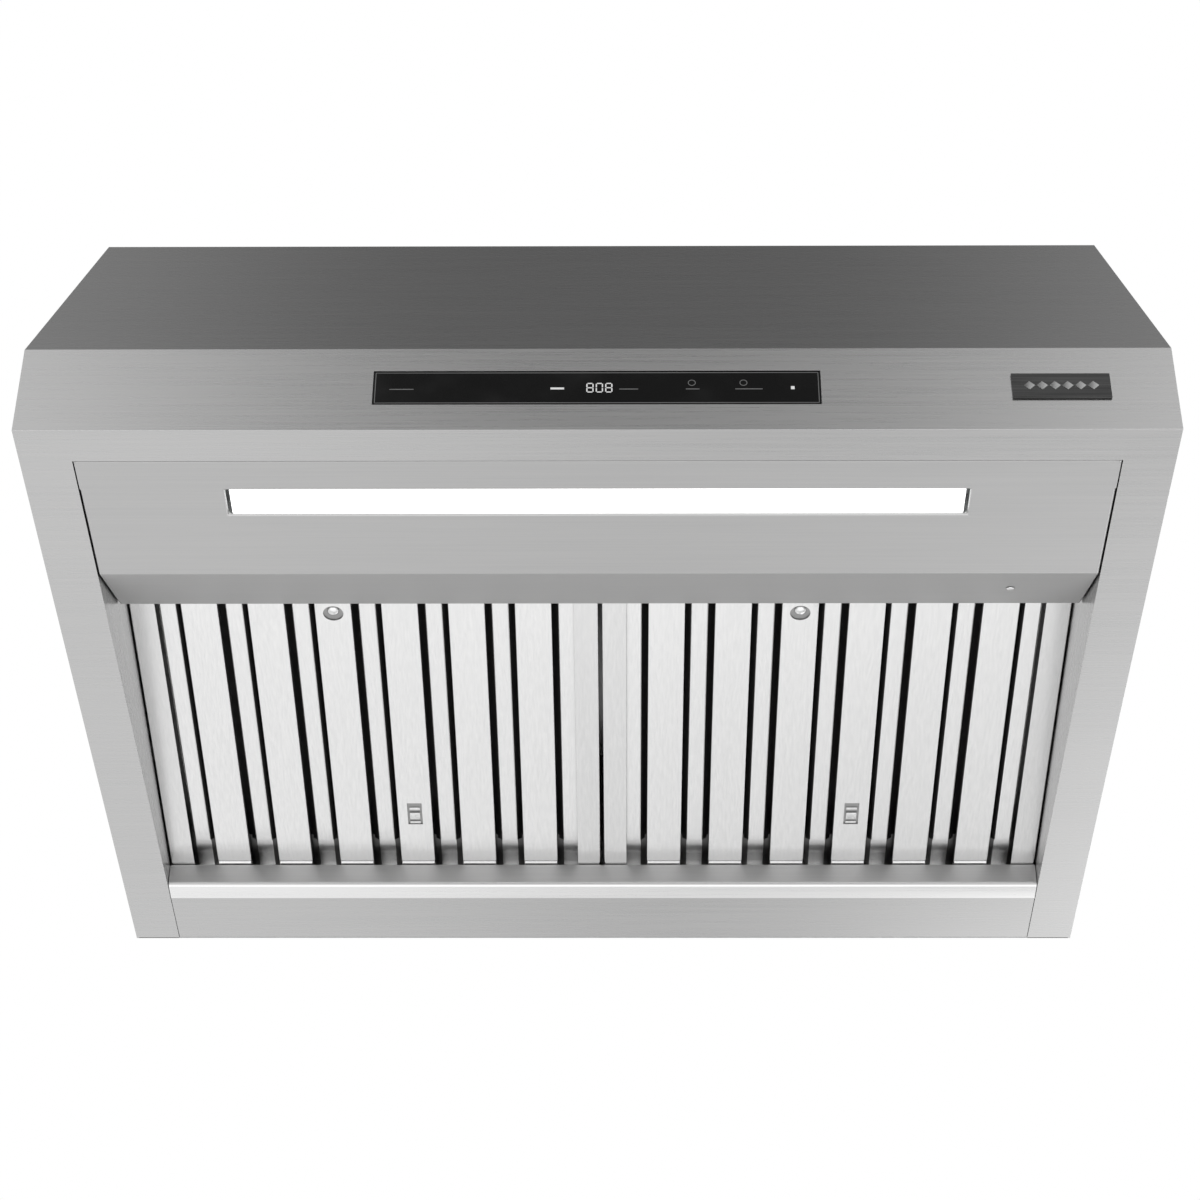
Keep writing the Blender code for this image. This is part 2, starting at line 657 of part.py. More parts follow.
def junction_box(datum, finishes):
    low = (0.200, 0.560, 0.235)
    high = (0.300, BACK_FACE - GAP, 0.335)
    wall = SHEET
    box = put("junction_box", box_mesh("junction_box", low, high), finishes["galvanised"], datum)
    cavity_low = (low[0] + wall, low[1] - wall, low[2] + wall)
    cavity_high = (high[0] - wall, high[1] - wall, high[2] - wall)
    cut(box, box_mesh("wiring space", cavity_low, cavity_high))
    around_hole = circle(CABLE_HOLE + 0.0034, (CABLE_X, WALL_CABLE_Z), 24)
    cable_way = prism("cable way", around_hole, "Y", high[1] - 2 * wall, high[1] + wall)
    cut(box, cable_way)
    cover_high = (high[0], low[1] - GAP, high[2])
    cover_low = (low[0], low[1] - GAP - wall, low[2])
    put("junction_cover", box_mesh("junction_cover", cover_low, cover_high), finishes["galvanised"], datum)
    block_low = (0.215, 0.575, low[2] + wall + GAP)
    block_high = (0.285, 0.600, low[2] + wall + 0.020)
    put("terminal_block", box_mesh("terminal_block", block_low, block_high), finishes["grey plastic"], datum)


def relay_box(datum, finishes):
    low = (-0.290, 0.260, 0.290)
    high = (-0.160, 0.360, HEIGHT - SHEET - GAP)
    hollow_box("relay_box", low, high, 0.0015, -1, finishes["black plastic"], datum)
    board_low = (low[0] + 0.006, low[1] + 0.006, low[2] + 0.020)
    board_high = (high[0] - 0.006, high[1] - 0.006, low[2] + 0.0216)
    put("relay_board", box_mesh("relay_board", board_low, board_high), finishes["circuit board"], datum)
    cover_low = (low[0], low[1], low[2] - GAP - 0.0015)
    cover_high = (high[0], high[1], low[2] - GAP)
    put("relay_cover", box_mesh("relay_cover", cover_low, cover_high), finishes["black plastic"], datum)


# Filters

def filter_frame(name, side, pivot, finishes):
    """A rim with a C-shaped section, open towards the filter's middle."""
    wall = 0.0010
    rails = {side: (FILTER_WALL_HALF, WALL_RAIL), -side: (FILTER_SPLIT_HALF, SPLIT_RAIL)}
    section = [
        (0.0, 0.0),
        (1.0, 0.0),
        (1.0, wall),
        (0.0, wall),
        (0.0, FILTER_THICKNESS - wall),
        (1.0, FILTER_THICKNESS - wall),
        (1.0, FILTER_THICKNESS),
        (0.0, FILTER_THICKNESS),
    ]
    bm = bmesh.new()
    loops = []
    for i, (reach, height) in enumerate(section):
        thick = wall if i in (3, 4) else 0.0
        left, right = [rails[end][0] - reach * rails[end][1] - thick for end in (-1, 1)]
        dy = reach * END_RAIL + thick
        corners = [
            (-left, FILTER_FRONT + dy),
            (right, FILTER_FRONT + dy),
            (right, FILTER_REAR - dy),
            (-left, FILTER_REAR - dy),
        ]
        loops.append([bm.verts.new((x, y, height)) for x, y in corners])
    for i, loop in enumerate(loops):
        after = loops[(i + 1) % len(loops)]
        for k in range(4):
            bm.faces.new((loop[k - 1], loop[k], after[k], after[k - 1]))
    frame = put(name, finished_mesh(name, bm), finishes["bright steel"], pivot)
    for end, x in ((FILTER_FRONT, -LATCH_X), (FILTER_REAR, LATCH_X)):
        hole_low = (x - LATCH_BOLT_WIDTH / 2 - 0.0007, end - 0.004, LATCH_FLOOR - 0.0007)
        hole_high = (x + LATCH_BOLT_WIDTH / 2 + 0.0007, end + 0.004, LATCH_ROOF + 0.0007)
        cut(frame, box_mesh("bolt hole", hole_low, hole_high))


def channel_outline(centre, floor_width, top_width, floor, top):
    """The section of a folded channel: a flat floor and two walls that rise from its edges."""
    half_floor = floor_width / 2
    half_top = top_width / 2
    line = [(-half_top, top), (-half_floor, floor), (half_floor, floor), (half_top, top)]
    return sheet_outline([(centre + x, z) for x, z in line], -FILTER_SHEET)


def baffle_grid(name, count, channel, insets, lengths, levels, pivot, finishes):
    """Parallel channels tied together by a flat strip at each end. The insets and the strips' lengths are
    given front first, and the levels are the strips' underside and top."""
    reach = FILTER_SPLIT_HALF - GRID_SIDE_GAP
    front = FILTER_FRONT + GRID_END_GAP
    rear = FILTER_REAR - GRID_END_GAP
    bottom, top = levels
    front_strip = box_mesh(name, (-reach, front, bottom), (reach, front + lengths[0], top))
    grid = put(name, front_strip, finishes["bright steel"], pivot)
    join(grid, box_mesh("rear strip", (-reach, rear - lengths[1], bottom), (reach, rear, top)))
    for i in range(count):
        centre = (i - (count - 1) / 2) * BAFFLE_PITCH
        outline = channel_outline(centre, *channel)
        join(grid, prism("baffle", outline, "Y", front + insets[0], rear - insets[1]))
    return grid


def latch(name, x, y, direction, pivot, finishes):
    """direction is +1 for the rear latch and -1 for the front one: the way the bolt points."""
    end = FILTER_REAR if direction > 0 else FILTER_FRONT
    half_slider = (LATCH_SLIDER[0] / 2, LATCH_SLIDER[1] / 2)
    slider_low = (-half_slider[0], -half_slider[1], LATCH_FLOOR)
    slider = box_mesh(name, slider_low, (half_slider[0], half_slider[1], LATCH_ROOF))
    piece = put(name, slider, finishes["bright steel"], pivot, (x, y, 0))
    tab_shift = direction * LATCH_TRAVEL / 2
    tab = circle(ROUND_TAB, (0, tab_shift), 24) if direction < 0 else rectangle(LATCH_TAB, (0, tab_shift))
    join(piece, prism("thumb tab", tab, "Z", LATCH_TAB_BOTTOM, LATCH_FLOOR + 0.001))
    bolt_ends = sorted((direction * (half_slider[1] - 0.002), end + direction * LATCH_REACH - y))
    bolt_low = (-LATCH_BOLT_WIDTH / 2, bolt_ends[0], LATCH_FLOOR + 0.0002)
    bolt_high = (LATCH_BOLT_WIDTH / 2, bolt_ends[1], LATCH_ROOF - 0.0002)
    join(piece, box_mesh("bolt", bolt_low, bolt_high))


def baffle_filter(side, datum, finishes):
    label = "right" if side > 0 else "left"
    centre = side * (FILTER_SPLIT_HALF + FILTER_SPLIT / 2)
    hinge = (centre, FILTER_HINGE_Y, FILTER_HINGE_Z)
    pivot = empty(f"filter_{label}_pivot", datum, hinge, (-FILTER_TILT, 0, 0))
    filter_frame(f"filter_{label}_frame", side, pivot, finishes)
    near_channel = (NEAR_WIDTH, NEAR_WIDTH, NEAR_FLOOR, NEAR_TOP)
    near_name = f"filter_{label}_near_baffles"
    near_strips = (NEAR_STRIP, NEAR_STRIP)
    near_insets = (NEAR_INSET, NEAR_INSET)
    near_levels = (NEAR_FLOOR, NEAR_FLOOR + FILTER_SHEET)
    near_grid = (near_channel, near_insets, near_strips, near_levels)
    near = baffle_grid(near_name, NEAR_BAFFLES, *near_grid, pivot, finishes)
    far_channel = (FAR_WIDTH, FAR_SPREAD, FAR_FLOOR, FAR_TOP)
    far_name = f"filter_{label}_far_baffles"
    far_strips = (FRONT_STRIP, REAR_STRIP)
    far_insets = (FRONT_STRIP - STRIP_OVERLAP, REAR_STRIP - STRIP_OVERLAP)
    far_levels = (STRIP_BOTTOM, FAR_TOP)
    baffle_grid(far_name, FAR_BAFFLES, far_channel, far_insets, far_strips, far_levels, pivot, finishes)
    places = (("front", -LATCH_X, FRONT_LATCH_Y, -1), ("rear", LATCH_X, REAR_LATCH_Y, 1))
    for end, x, y, direction in places:
        slot = circle(ROUND_SLOT, (x, y), 24) if direction < 0 else rectangle(LATCH_SLOT, (x, y))
        cut(near, prism("tab slot", slot, "Z", -0.001, NEAR_FLOOR + 2 * FILTER_SHEET))
        latch(f"latch_{label}_{end}", x, y, direction, pivot, finishes)


def build_hood():
    remove_everything()
    finishes = hood_finishes()
    datum = empty("hood_datum", location=(0, -DEPTH, -HEIGHT))
    front_canopy(datum, finishes)
    side_panel(-1, datum, finishes)
    side_panel(1, datum, finishes)
    top_panel(datum, finishes)
    back_panel(datum, finishes)
    knockout_plug("top_knockout_plug", (CABLE_X, 0.545, HEIGHT - SHEET - GAP), (0, 0, 0), datum, finishes)
    wall_hole = (CABLE_X, BACK_FACE - GAP, WALL_CABLE_Z)
    knockout_plug("wall_knockout_plug", wall_hole, (-math.pi / 2, 0, 0), datum, finishes)
    rear_trim(datum, finishes)
    light_panel(datum, finishes)
    light_bar(datum, finishes)
    front_rail(datum, finishes)
    control_strip(datum, finishes)
    badge_plate(datum, finishes)
    blower_housing(datum, finishes)
    impeller(empty("impeller_axis", datum, (0, BLOWER_Y, BLOWER_Z)), finishes)
    motor(datum, finishes)
    capacitor(datum, finishes)
    duct_collar(datum, finishes)
    damper(datum, finishes)
    junction_box(datum, finishes)
    relay_box(datum, finishes)
    baffle_filter(-1, datum, finishes)
    baffle_filter(1, datum, finishes)


build_hood()
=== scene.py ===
import json
import math

import bmesh
import bpy
from mathutils import Matrix, Vector


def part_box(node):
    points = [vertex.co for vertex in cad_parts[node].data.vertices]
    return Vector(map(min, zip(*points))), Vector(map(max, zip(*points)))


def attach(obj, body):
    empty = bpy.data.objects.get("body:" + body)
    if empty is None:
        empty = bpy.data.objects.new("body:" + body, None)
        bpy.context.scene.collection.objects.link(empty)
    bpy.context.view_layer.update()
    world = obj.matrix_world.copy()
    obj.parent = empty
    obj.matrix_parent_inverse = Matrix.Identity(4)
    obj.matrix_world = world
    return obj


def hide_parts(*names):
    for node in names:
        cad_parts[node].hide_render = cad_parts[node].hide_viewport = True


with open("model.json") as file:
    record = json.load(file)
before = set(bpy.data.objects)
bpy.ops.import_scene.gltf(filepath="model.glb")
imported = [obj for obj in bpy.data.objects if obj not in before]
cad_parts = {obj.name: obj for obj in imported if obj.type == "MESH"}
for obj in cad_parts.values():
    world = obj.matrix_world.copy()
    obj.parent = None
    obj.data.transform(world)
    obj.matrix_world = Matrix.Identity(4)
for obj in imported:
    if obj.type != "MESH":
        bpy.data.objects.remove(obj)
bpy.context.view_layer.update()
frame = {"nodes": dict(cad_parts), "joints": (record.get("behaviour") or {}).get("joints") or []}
nodes = frame["nodes"]
joints = {joint["name"]: joint for joint in frame["joints"]}

# Pieces are laid out on a bench: X from the middle, Y backwards from the front edge, Z up from the underside
shellLow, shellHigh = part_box("front_canopy")
bench = Matrix.Translation((0, shellLow.y, shellLow.z))
halfWidth = shellHigh.x
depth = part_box("back_panel")[1].y - shellLow.y
height = shellHigh.z - shellLow.z
sheet = 0.0012
gap = 0.0004
hair = 0.0001  # how near counts as being in the same place
proud = 0.00001  # how far a mark stands off its plate


# Shader maths

class Wire:
    # a node socket that takes part in Python expressions
    def __init__(self, finish, socket):
        self.finish = finish
        self.socket = socket

    def maths(self, operation, first, second):
        return self.finish.node("ShaderNodeMath", {"operation": operation}, {0: first, 1: second})

    def __add__(self, other):
        return self.maths("ADD", self, other)

    def __radd__(self, other):
        return self.maths("ADD", other, self)

    def __sub__(self, other):
        return self.maths("SUBTRACT", self, other)

    def __rsub__(self, other):
        return self.maths("SUBTRACT", other, self)

    def __mul__(self, other):
        return self.maths("MULTIPLY", self, other)

    def __rmul__(self, other):
        return self.maths("MULTIPLY", other, self)

    def __abs__(self):
        return self.finish.node("ShaderNodeMath", {"operation": "ABSOLUTE"}, {0: self})

    def over(self, edge):
        return self.maths("GREATER_THAN", self, edge)

    def ramp(self, low, high, start=0.0, end=1.0):
        return self.finish.node(
            "ShaderNodeMapRange",
            {"interpolation_type": "SMOOTHSTEP"},
            {"Value": self, "From Min": low, "From Max": high, "To Min": start, "To Max": end},
        )


class Finish:
    # a node tree that is being filled: a material's or the world's
    def __init__(self, name, tree=None):
        if tree is None:
            self.material = bpy.data.materials.new(name)
            self.material.use_nodes = True
            tree = self.material.node_tree
            self.shader = tree.nodes["Principled BSDF"]
        self.tree = tree

    def node(self, kind, settings=None, sockets=None, output=0):
        made = self.tree.nodes.new(kind)
        for key, value in (settings or {}).items():
            if key == "stops":
                self.setStops(made.color_ramp, value)
            else:
                setattr(made, key, value)
        for key, value in (sockets or {}).items():
            self.plug(made.inputs[key], value)
        return Wire(self, made.outputs[output])

    def setStops(self, ramp, stops):
        while len(ramp.elements) < len(stops):
            ramp.elements.new(1.0)
        for element, (place, tone) in zip(ramp.elements, stops):
            element.position = place
            element.color = (tone, tone, tone, 1.0)

    def plug(self, socket, value):
        if isinstance(value, Wire):
            self.tree.links.new(value.socket, socket)
        else:
            socket.default_value = value

    def set(self, **values):
        # each name is a socket of the Principled shader, without its spaces
        for name, value in values.items():
            socket = next(s for s in self.shader.inputs if s.name.replace(" ", "").lower() == name.lower())
            self.plug(socket, value)

    def place(self, scale, shift=(0, 0, 0)):
        here = self.node("ShaderNodeTexCoord", output=3)
        return self.node("ShaderNodeMapping", sockets={"Vector": here, "Location": shift, "Scale": scale})

    def noise(self, scale, detail=3.0, shift=(0, 0, 0)):
        where = self.place(scale, shift)
        values = {"Vector": where, "Scale": 1.0, "Detail": detail, "Roughness": 0.55}
        return self.node("ShaderNodeTexNoise", sockets=values)

    def axis(self, vector, number=0):
        return self.node("ShaderNodeSeparateXYZ", sockets={0: vector}, output=number)

    def blend(self, share, first, second):
        mixed = self.tree.nodes.new("ShaderNodeMix")
        mixed.data_type = "RGBA"
        self.plug(mixed.inputs[0], share)
        self.plug(mixed.inputs[6], first)
        self.plug(mixed.inputs[7], second)
        return Wire(self, mixed.outputs[2])

    def bump(self, height, strength, distance):
        values = {"Strength": strength, "Distance": distance, "Height": height}
        self.plug(self.shader.inputs["Normal"], self.node("ShaderNodeBump", sockets=values))
        return self


def grey(tone, warmth=0.0):
    return (tone + warmth, tone, tone - warmth, 1.0)


# Finishes

brushing = {
    "along": 7.0,
    "across": 620.0,
    "fineAcross": 2100.0,
    "bandAlong": 0.9,
    "bandAcross": 16.0,
    "bumpStrength": 0.04,
    "bumpDistance": 0.0002,
}


def grainScales(grain):
    # three noise scales, for wide bands, streaks and fine scratches along the grain's axis
    pairs = (
        (brushing["bandAlong"], brushing["bandAcross"]),
        (brushing["along"], brushing["across"]),
        (brushing["along"] * 4, brushing["fineAcross"]),
    )
    return [tuple(along if axis == grain else across for axis in "XYZ") for along, across in pairs]


def brushedSteel(name, tone, grain, roughness=0.28, sideGrain=None):
    steel = Finish(name)
    bands, streaks, scratches = [steel.noise(scale) for scale in grainScales(grain)]
    if sideGrain is not None:
        normal = steel.node("ShaderNodeNewGeometry", output=1)
        onSide = abs(steel.axis(normal)).over(0.7)
        other = [steel.noise(scale, shift=(3, 1, 2)) for scale in grainScales(sideGrain)]
        bands, streaks, scratches = [
            first + (second - first) * onSide for first, second in zip((bands, streaks, scratches), other)
        ]
    mixed = streaks * 0.55 + scratches * 0.25 + bands * 0.20
    colour = steel.blend(mixed.ramp(0.30, 0.70), grey(tone * 0.965), grey(tone * 1.03, 0.002))
    steel.set(baseColor=colour, metallic=1.0, roughness=roughness - 0.05 + streaks * 0.06 + scratches * 0.04)
    return steel.bump(streaks * 0.6 + scratches * 0.4, brushing["bumpStrength"], brushing["bumpDistance"])


def galvanisedSteel(name, tone):
    zinc = Finish(name)
    cells = zinc.node(
        "ShaderNodeTexVoronoi", {"feature": "F1"}, {"Vector": zinc.place((1, 1, 1)), "Scale": 150.0}, output=1
    )
    flake = zinc.axis(cells)
    cloud = zinc.noise((9, 9, 9), detail=4)
    fine = zinc.noise((700, 700, 700))
    shade = flake * 0.55 + cloud * 0.45
    colour = zinc.blend(shade.ramp(0.2, 0.8), grey(tone * 0.92, -0.004), grey(tone * 1.07, -0.003))
    zinc.set(baseColor=colour, metallic=0.92, roughness=0.34 + flake * 0.16 + fine * 0.05)
    return zinc.bump(flake * 0.5 + fine * 0.5, 0.08, 0.0003)


def millAluminium(name, tone, roughness=0.30):
    metal = Finish(name)
    rolled = metal.noise((9, 420, 420))
    cloud = metal.noise((22, 22, 22), detail=4)
    colour = metal.blend((rolled * 0.6 + cloud * 0.4).ramp(0.3, 0.7), grey(tone * 0.88), grey(tone * 1.06))
    metal.set(baseColor=colour, metallic=1.0, roughness=roughness + cloud * 0.10)
    return metal.bump(rolled, 0.08, 0.0002)


def polishedSteel(name, tone):
    steel = Finish(name)
    wear = steel.noise((260, 260, 260), detail=4)
    steel.set(
        baseColor=steel.blend(wear.ramp(0.3, 0.75), grey(tone * 0.9), grey(tone * 1.06)),
        metallic=1.0,
        roughness=0.16 + wear * 0.14,
    )
    return steel.bump(wear, 0.06, 0.0002)


def mouldedPlastic(name, tone, roughness=0.42):
    plastic = Finish(name)
    pits = plastic.noise((1500, 1500, 1500), detail=2)
    cloud = plastic.noise((30, 30, 30))
    plastic.set(
        baseColor=plastic.blend(cloud.ramp(0.25, 0.75), grey(tone * 0.85), grey(tone * 1.15)),
        roughness=roughness + pits * 0.10,
    )
    return plastic.bump(pits, 0.18, 0.0002)


def motorEnamel(name):
    enamel = Finish(name)
    peel = enamel.noise((420, 420, 420), detail=2)
    dust = enamel.noise((35, 35, 35), detail=5)
    enamel.set(
        baseColor=enamel.blend(dust.ramp(0.45, 0.8), grey(0.016), grey(0.045, 0.003)),
        roughness=0.24 + dust * 0.25,
        coatWeight=0.3,
    )
    return enamel.bump(peel, 0.15, 0.0003)


def blackGlass(name):
    glass = Finish(name)
    smudge = glass.noise((18, 18, 26), detail=5)
    glass.set(
        baseColor=glass.blend(smudge.ramp(0.4, 0.8), grey(0.006), grey(0.011)),
        roughness=0.05 + smudge.ramp(0.45, 0.8, 0.0, 0.10),
        specularIorLevel=0.18,
    )
    return glass


def litMark(name, tone, strength):
    mark = Finish(name)
    flicker = mark.noise((900, 900, 900))
    glow = mark.blend(flicker.ramp(0.3, 0.7), grey(tone * 0.92), grey(tone))
    mark.set(baseColor=grey(0.02), emissionColor=glow, emissionStrength=strength, roughness=0.4)
    return mark


def opalLens(name):
    lens = Finish(name)
    along = abs(lens.axis(lens.place((1, 1, 1))))
    grain = lens.noise((320, 320, 320))
    edge = along.ramp(0.236, 0.249)
    glow = lens.blend(edge * 0.5 + grain * 0.04, (1.0, 1.0, 0.99, 1.0), (0.74, 0.76, 0.78, 1.0))
    lens.set(baseColor=grey(0.85), emissionColor=glow, emissionStrength=1.6, roughness=0.38)
    return lens.bump(grain, 0.05, 0.0002)


def circuitBoard(name):
    board = Finish(name)
    tracks = board.node(
        "ShaderNodeTexBrick",
        sockets={
            "Vector": board.place((1, 1, 1)),
            "Color1": (0.012, 0.075, 0.030, 1),
            "Color2": (0.016, 0.110, 0.042, 1),
            "Mortar": (0.030, 0.190, 0.080, 1),
            "Scale": 90.0,
            "Mortar Size": 0.03,
        },
    )
    weave = board.noise((900, 900, 900))
    board.set(baseColor=tracks, roughness=0.28 + weave * 0.2)
    return board.bump(weave, 0.10, 0.0002)


def darkPlate(name):
    plate = Finish(name)
    brushed = plate.noise((14, 900, 900))
    plate.set(
        baseColor=plate.blend(brushed.ramp(0.3, 0.7), grey(0.030), grey(0.060)),
        metallic=0.55,
        roughness=0.30 + brushed * 0.12,
    )
    return plate.bump(brushed, 0.10, 0.0002)


finishes = {
    "shell": brushedSteel("shell brushed steel", 0.56, "X", sideGrain="Y"),
    "panel": brushedSteel("light panel brushed steel", 0.53, "X", roughness=0.36),
    "trim": brushedSteel("rear trim brushed steel", 0.55, "X"),
    "lip": brushedSteel("smooth lip steel", 0.47, "X", roughness=0.56),
    "trimFace": brushedSteel("rear trim face steel", 0.62, "X", roughness=0.52),
    # painted highlight: the trim's chamfer gets a much lighter copy of the trim steel so that it looks lit
    "chamfer": brushedSteel("chamfer steel with painted highlight", 0.88, "X"),
    "baffle": brushedSteel("baffle brushed steel", 0.88, "Y", roughness=0.24),
    # painted shade: this dark copy of the baffle steel colours the baffle walls and the far-baffle edges
    # dark, where shade falls between the baffles
    "baffleWall": brushedSteel("painted shade on baffle walls", 0.12, "Y", roughness=0.34),
    "latchBody": brushedSteel("latch slider steel", 0.34, "Y", roughness=0.40),
    "frame": brushedSteel("filter frame brushed steel", 0.80, "Y", roughness=0.24),
    "zinc": galvanisedSteel("galvanised sheet", 0.50),
    "aluminium": millAluminium("mill aluminium", 0.76),
    "polished": polishedSteel("polished steel", 0.78),
    "glass": blackGlass("back-printed black glass"),
    "brightMark": litMark("bright display mark", 0.90, 0.75),
    "dimMark": litMark("dim display mark", 0.30, 0.30),
    "lens": opalLens("opal light diffuser"),
    "board": circuitBoard("green circuit board"),
    "blackPlastic": mouldedPlastic("moulded black plastic", 0.026),
    "greyPlastic": mouldedPlastic("moulded grey plastic", 0.25),
    "motor": motorEnamel("black motor enamel"),
    "badge": darkPlate("dark badge plate"),
    "badgeRelief": polishedSteel("badge relief steel", 0.42),
}
print("finishes made:", len(finishes))


# Mesh tools

def addPiece(name, bm, finish, body, replaced=(), matrix=bench):
    mesh = bpy.data.meshes.new(name)
    bm.to_mesh(mesh)
    bm.free()
    mesh.transform(matrix)
    mesh.materials.append(finishes[finish].material)
    mesh.shade_smooth()
    piece = bpy.data.objects.new(name, mesh)
    bpy.context.scene.collection.objects.link(piece)
    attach(piece, body)
    if replaced:
        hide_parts(*replaced)
    return piece


def accent(piece, finish, test):
    # a second finish on the faces that pass the test
    piece.data.materials.append(finishes[finish].material)
    for face in piece.data.polygons:
        if test(face.normal, face.center):
            face.material_index = len(piece.data.materials) - 1


def thicken(piece, thickness):
    wall = piece.modifiers.new("sheet", "SOLIDIFY")
    wall.thickness = thickness
    wall.offset = -1.0
    wall.use_even_offset = True


def softenEdges(piece, width, segments=2, angle=math.radians(30)):
    bevel = piece.modifiers.new("edges", "BEVEL")
    bevel.width = width
    bevel.segments = segments
    bevel.limit_method = "ANGLE"
    bevel.angle_limit = angle
    bevel.harden_normals = True
    weighted = piece.modifiers.new("shading", "WEIGHTED_NORMAL")
    weighted.keep_sharp = True


def across(axis, a, b, reach=0.0):
    # a point of a section: (y, z) for a run along X, (x, z) along Y and (x, y) along Z
    if axis == "X":
        return (reach, a, b)
    if axis == "Y":
        return (a, reach, b)
    return (a, b, reach)


def sweptLine(line, axis, low, high, facing):
    # a bent strip, its first face turned towards facing
    bm = bmesh.new()
    ends = [bm.verts.new(across(axis, a, b, low)) for a, b in line]
    edges = [bm.edges.new(pair) for pair in zip(ends, ends[1:])]
    grown = bmesh.ops.extrude_edge_only(bm, edges=edges)["geom"]
    moved = [item for item in grown if isinstance(item, bmesh.types.BMVert)]
    bmesh.ops.translate(bm, vec=across(axis, 0, 0, high - low), verts=moved)
    faceTowards(bm, facing, Vector(across(axis, *[(p + q) / 2 for p, q in zip(line[0], line[1])])))
    return bm


def faceTowards(bm, facing, near):
    bmesh.ops.recalc_face_normals(bm, faces=bm.faces)
    bm.normal_update()
    first = min(bm.faces, key=lambda face: (face.calc_center_median() - near).length)
    if first.normal.dot(Vector(facing)) < 0:
        bmesh.ops.reverse_faces(bm, faces=bm.faces)


def slab(section, axis, low, high):
    # a closed section pushed along an axis
    bm = bmesh.new()
    face = bm.faces.new([bm.verts.new(across(axis, a, b, low)) for a, b in section])
    grown = bmesh.ops.extrude_face_region(bm, geom=[face])["geom"]
    moved = [item for item in grown if isinstance(item, bmesh.types.BMVert)]
    bmesh.ops.translate(bm, vec=across(axis, 0, 0, high - low), verts=moved)
    bmesh.ops.recalc_face_normals(bm, faces=bm.faces)
    return bm


def block(low, high):
    section = [(low[0], low[1]), (high[0], low[1]), (high[0], high[1]), (low[0], high[1])]
    return slab(section, "Z", low[2], high[2])


def turned(profile, steps=48, axis="Z"):
    # a closed profile of (radius, height) spun about an axis
    bm = bmesh.new()
    ring = [bm.verts.new((radius, 0, z)) for radius, z in profile]
    edges = [bm.edges.new((ring[i - 1], ring[i])) for i in range(len(ring))]
    bmesh.ops.spin(
        bm, geom=ring + edges, cent=(0, 0, 0), axis=(0, 0, 1), angle=math.tau, steps=steps, use_merge=True
    )
    bmesh.ops.remove_doubles(bm, verts=bm.verts, dist=0.000001)
    bmesh.ops.recalc_face_normals(bm, faces=bm.faces)
    if axis == "X":
        bmesh.ops.rotate(bm, verts=bm.verts, cent=(0, 0, 0), matrix=Matrix.Rotation(math.pi / 2, 3, "Y"))
    if axis == "Y":
        bmesh.ops.rotate(bm, verts=bm.verts, cent=(0, 0, 0), matrix=Matrix.Rotation(-math.pi / 2, 3, "X"))
    return bm


def joined(target, other, matrix=Matrix()):
    # adds another bmesh to the target as a separate shell
    mesh = bpy.data.meshes.new("part")
    other.transform(matrix)
    other.to_mesh(mesh)
    other.free()
    target.from_mesh(mesh)
    bpy.data.meshes.remove(mesh)


def facesWhere(bm, test):
    return [face for face in bm.faces if test(face.normal, face.calc_center_median())]


def facesDown(n, at):
    return n.z < -0.99


def scoreLines(bm, test, axis, places):
    # lines cut square to an axis across the faces that pass the test
    for place in places:
        point, normal = Vector((0, 0, 0)), Vector((0, 0, 0))
        point[axis], normal[axis] = place, 1.0
        faces = facesWhere(bm, test)
        geom = list({item for face in faces for item in (face, *face.edges, *face.verts)})
        bmesh.ops.bisect_plane(bm, geom=geom, plane_co=point, plane_no=normal)
        bm.normal_update()


def remove(bm, faces):
    bmesh.ops.delete(bm, geom=faces, context="FACES")


def roundBends(bm, radius, segments=3, least=12, test=None):
    bends = [
        edge
        for edge in bm.edges
        if len(edge.link_faces) == 2
        and edge.calc_face_angle() > math.radians(least)
        and (test is None or test(edge))
    ]
    bmesh.ops.bevel(
        bm,
        geom=bends,
        offset=radius,
        offset_type="OFFSET",
        segments=segments,
        profile=0.5,
        affect="EDGES",
        material=-1,
        clamp_overlap=True,
    )


def raiseEdges(bm, edges, step):
    grown = bmesh.ops.extrude_edge_only(bm, edges=edges)["geom"]
    bmesh.ops.translate(bm, vec=step, verts=[item for item in grown if isinstance(item, bmesh.types.BMVert)])
    return [item for item in grown if isinstance(item, bmesh.types.BMEdge) and item.is_boundary]


def openEdges(bm, test):
    return [e for e in bm.edges if e.is_boundary and test((e.verts[0].co + e.verts[1].co) / 2, e)]


def cutWindow(bm, test, span, axes):
    # span is (low, high) on each of the two axes, 0 to 2
    for axis, places in zip(axes, span):
        scoreLines(bm, test, axis, places)

    def inside(n, at):
        return test(n, at) and all(low < at[axis] < high for axis, (low, high) in zip(axes, span))

    remove(bm, facesWhere(bm, inside))


def centredRow(count, pitch):
    return [(i - (count - 1) / 2) * pitch for i in range(count)]


# Canopy: one welded and polished shell of flanges, band, slope and sides

canopy = {
    "bandHeight": 0.071,
    "slopeRun": 0.196,
    "topReturn": 0.020,
    "frontFlange": 0.0315,
    "sideFlange": 0.035,
    "frontFold": 0.006,
    "innerWall": 0.070,
    "bendRadius": 0.0020,
    "tightRadius": 0.0005,
    "edgeSoftness": 0.0003,
}
innerHalf = halfWidth - canopy["sideFlange"]
glassLow, glassHigh = [bench.inverted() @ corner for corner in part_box("control_glass")]


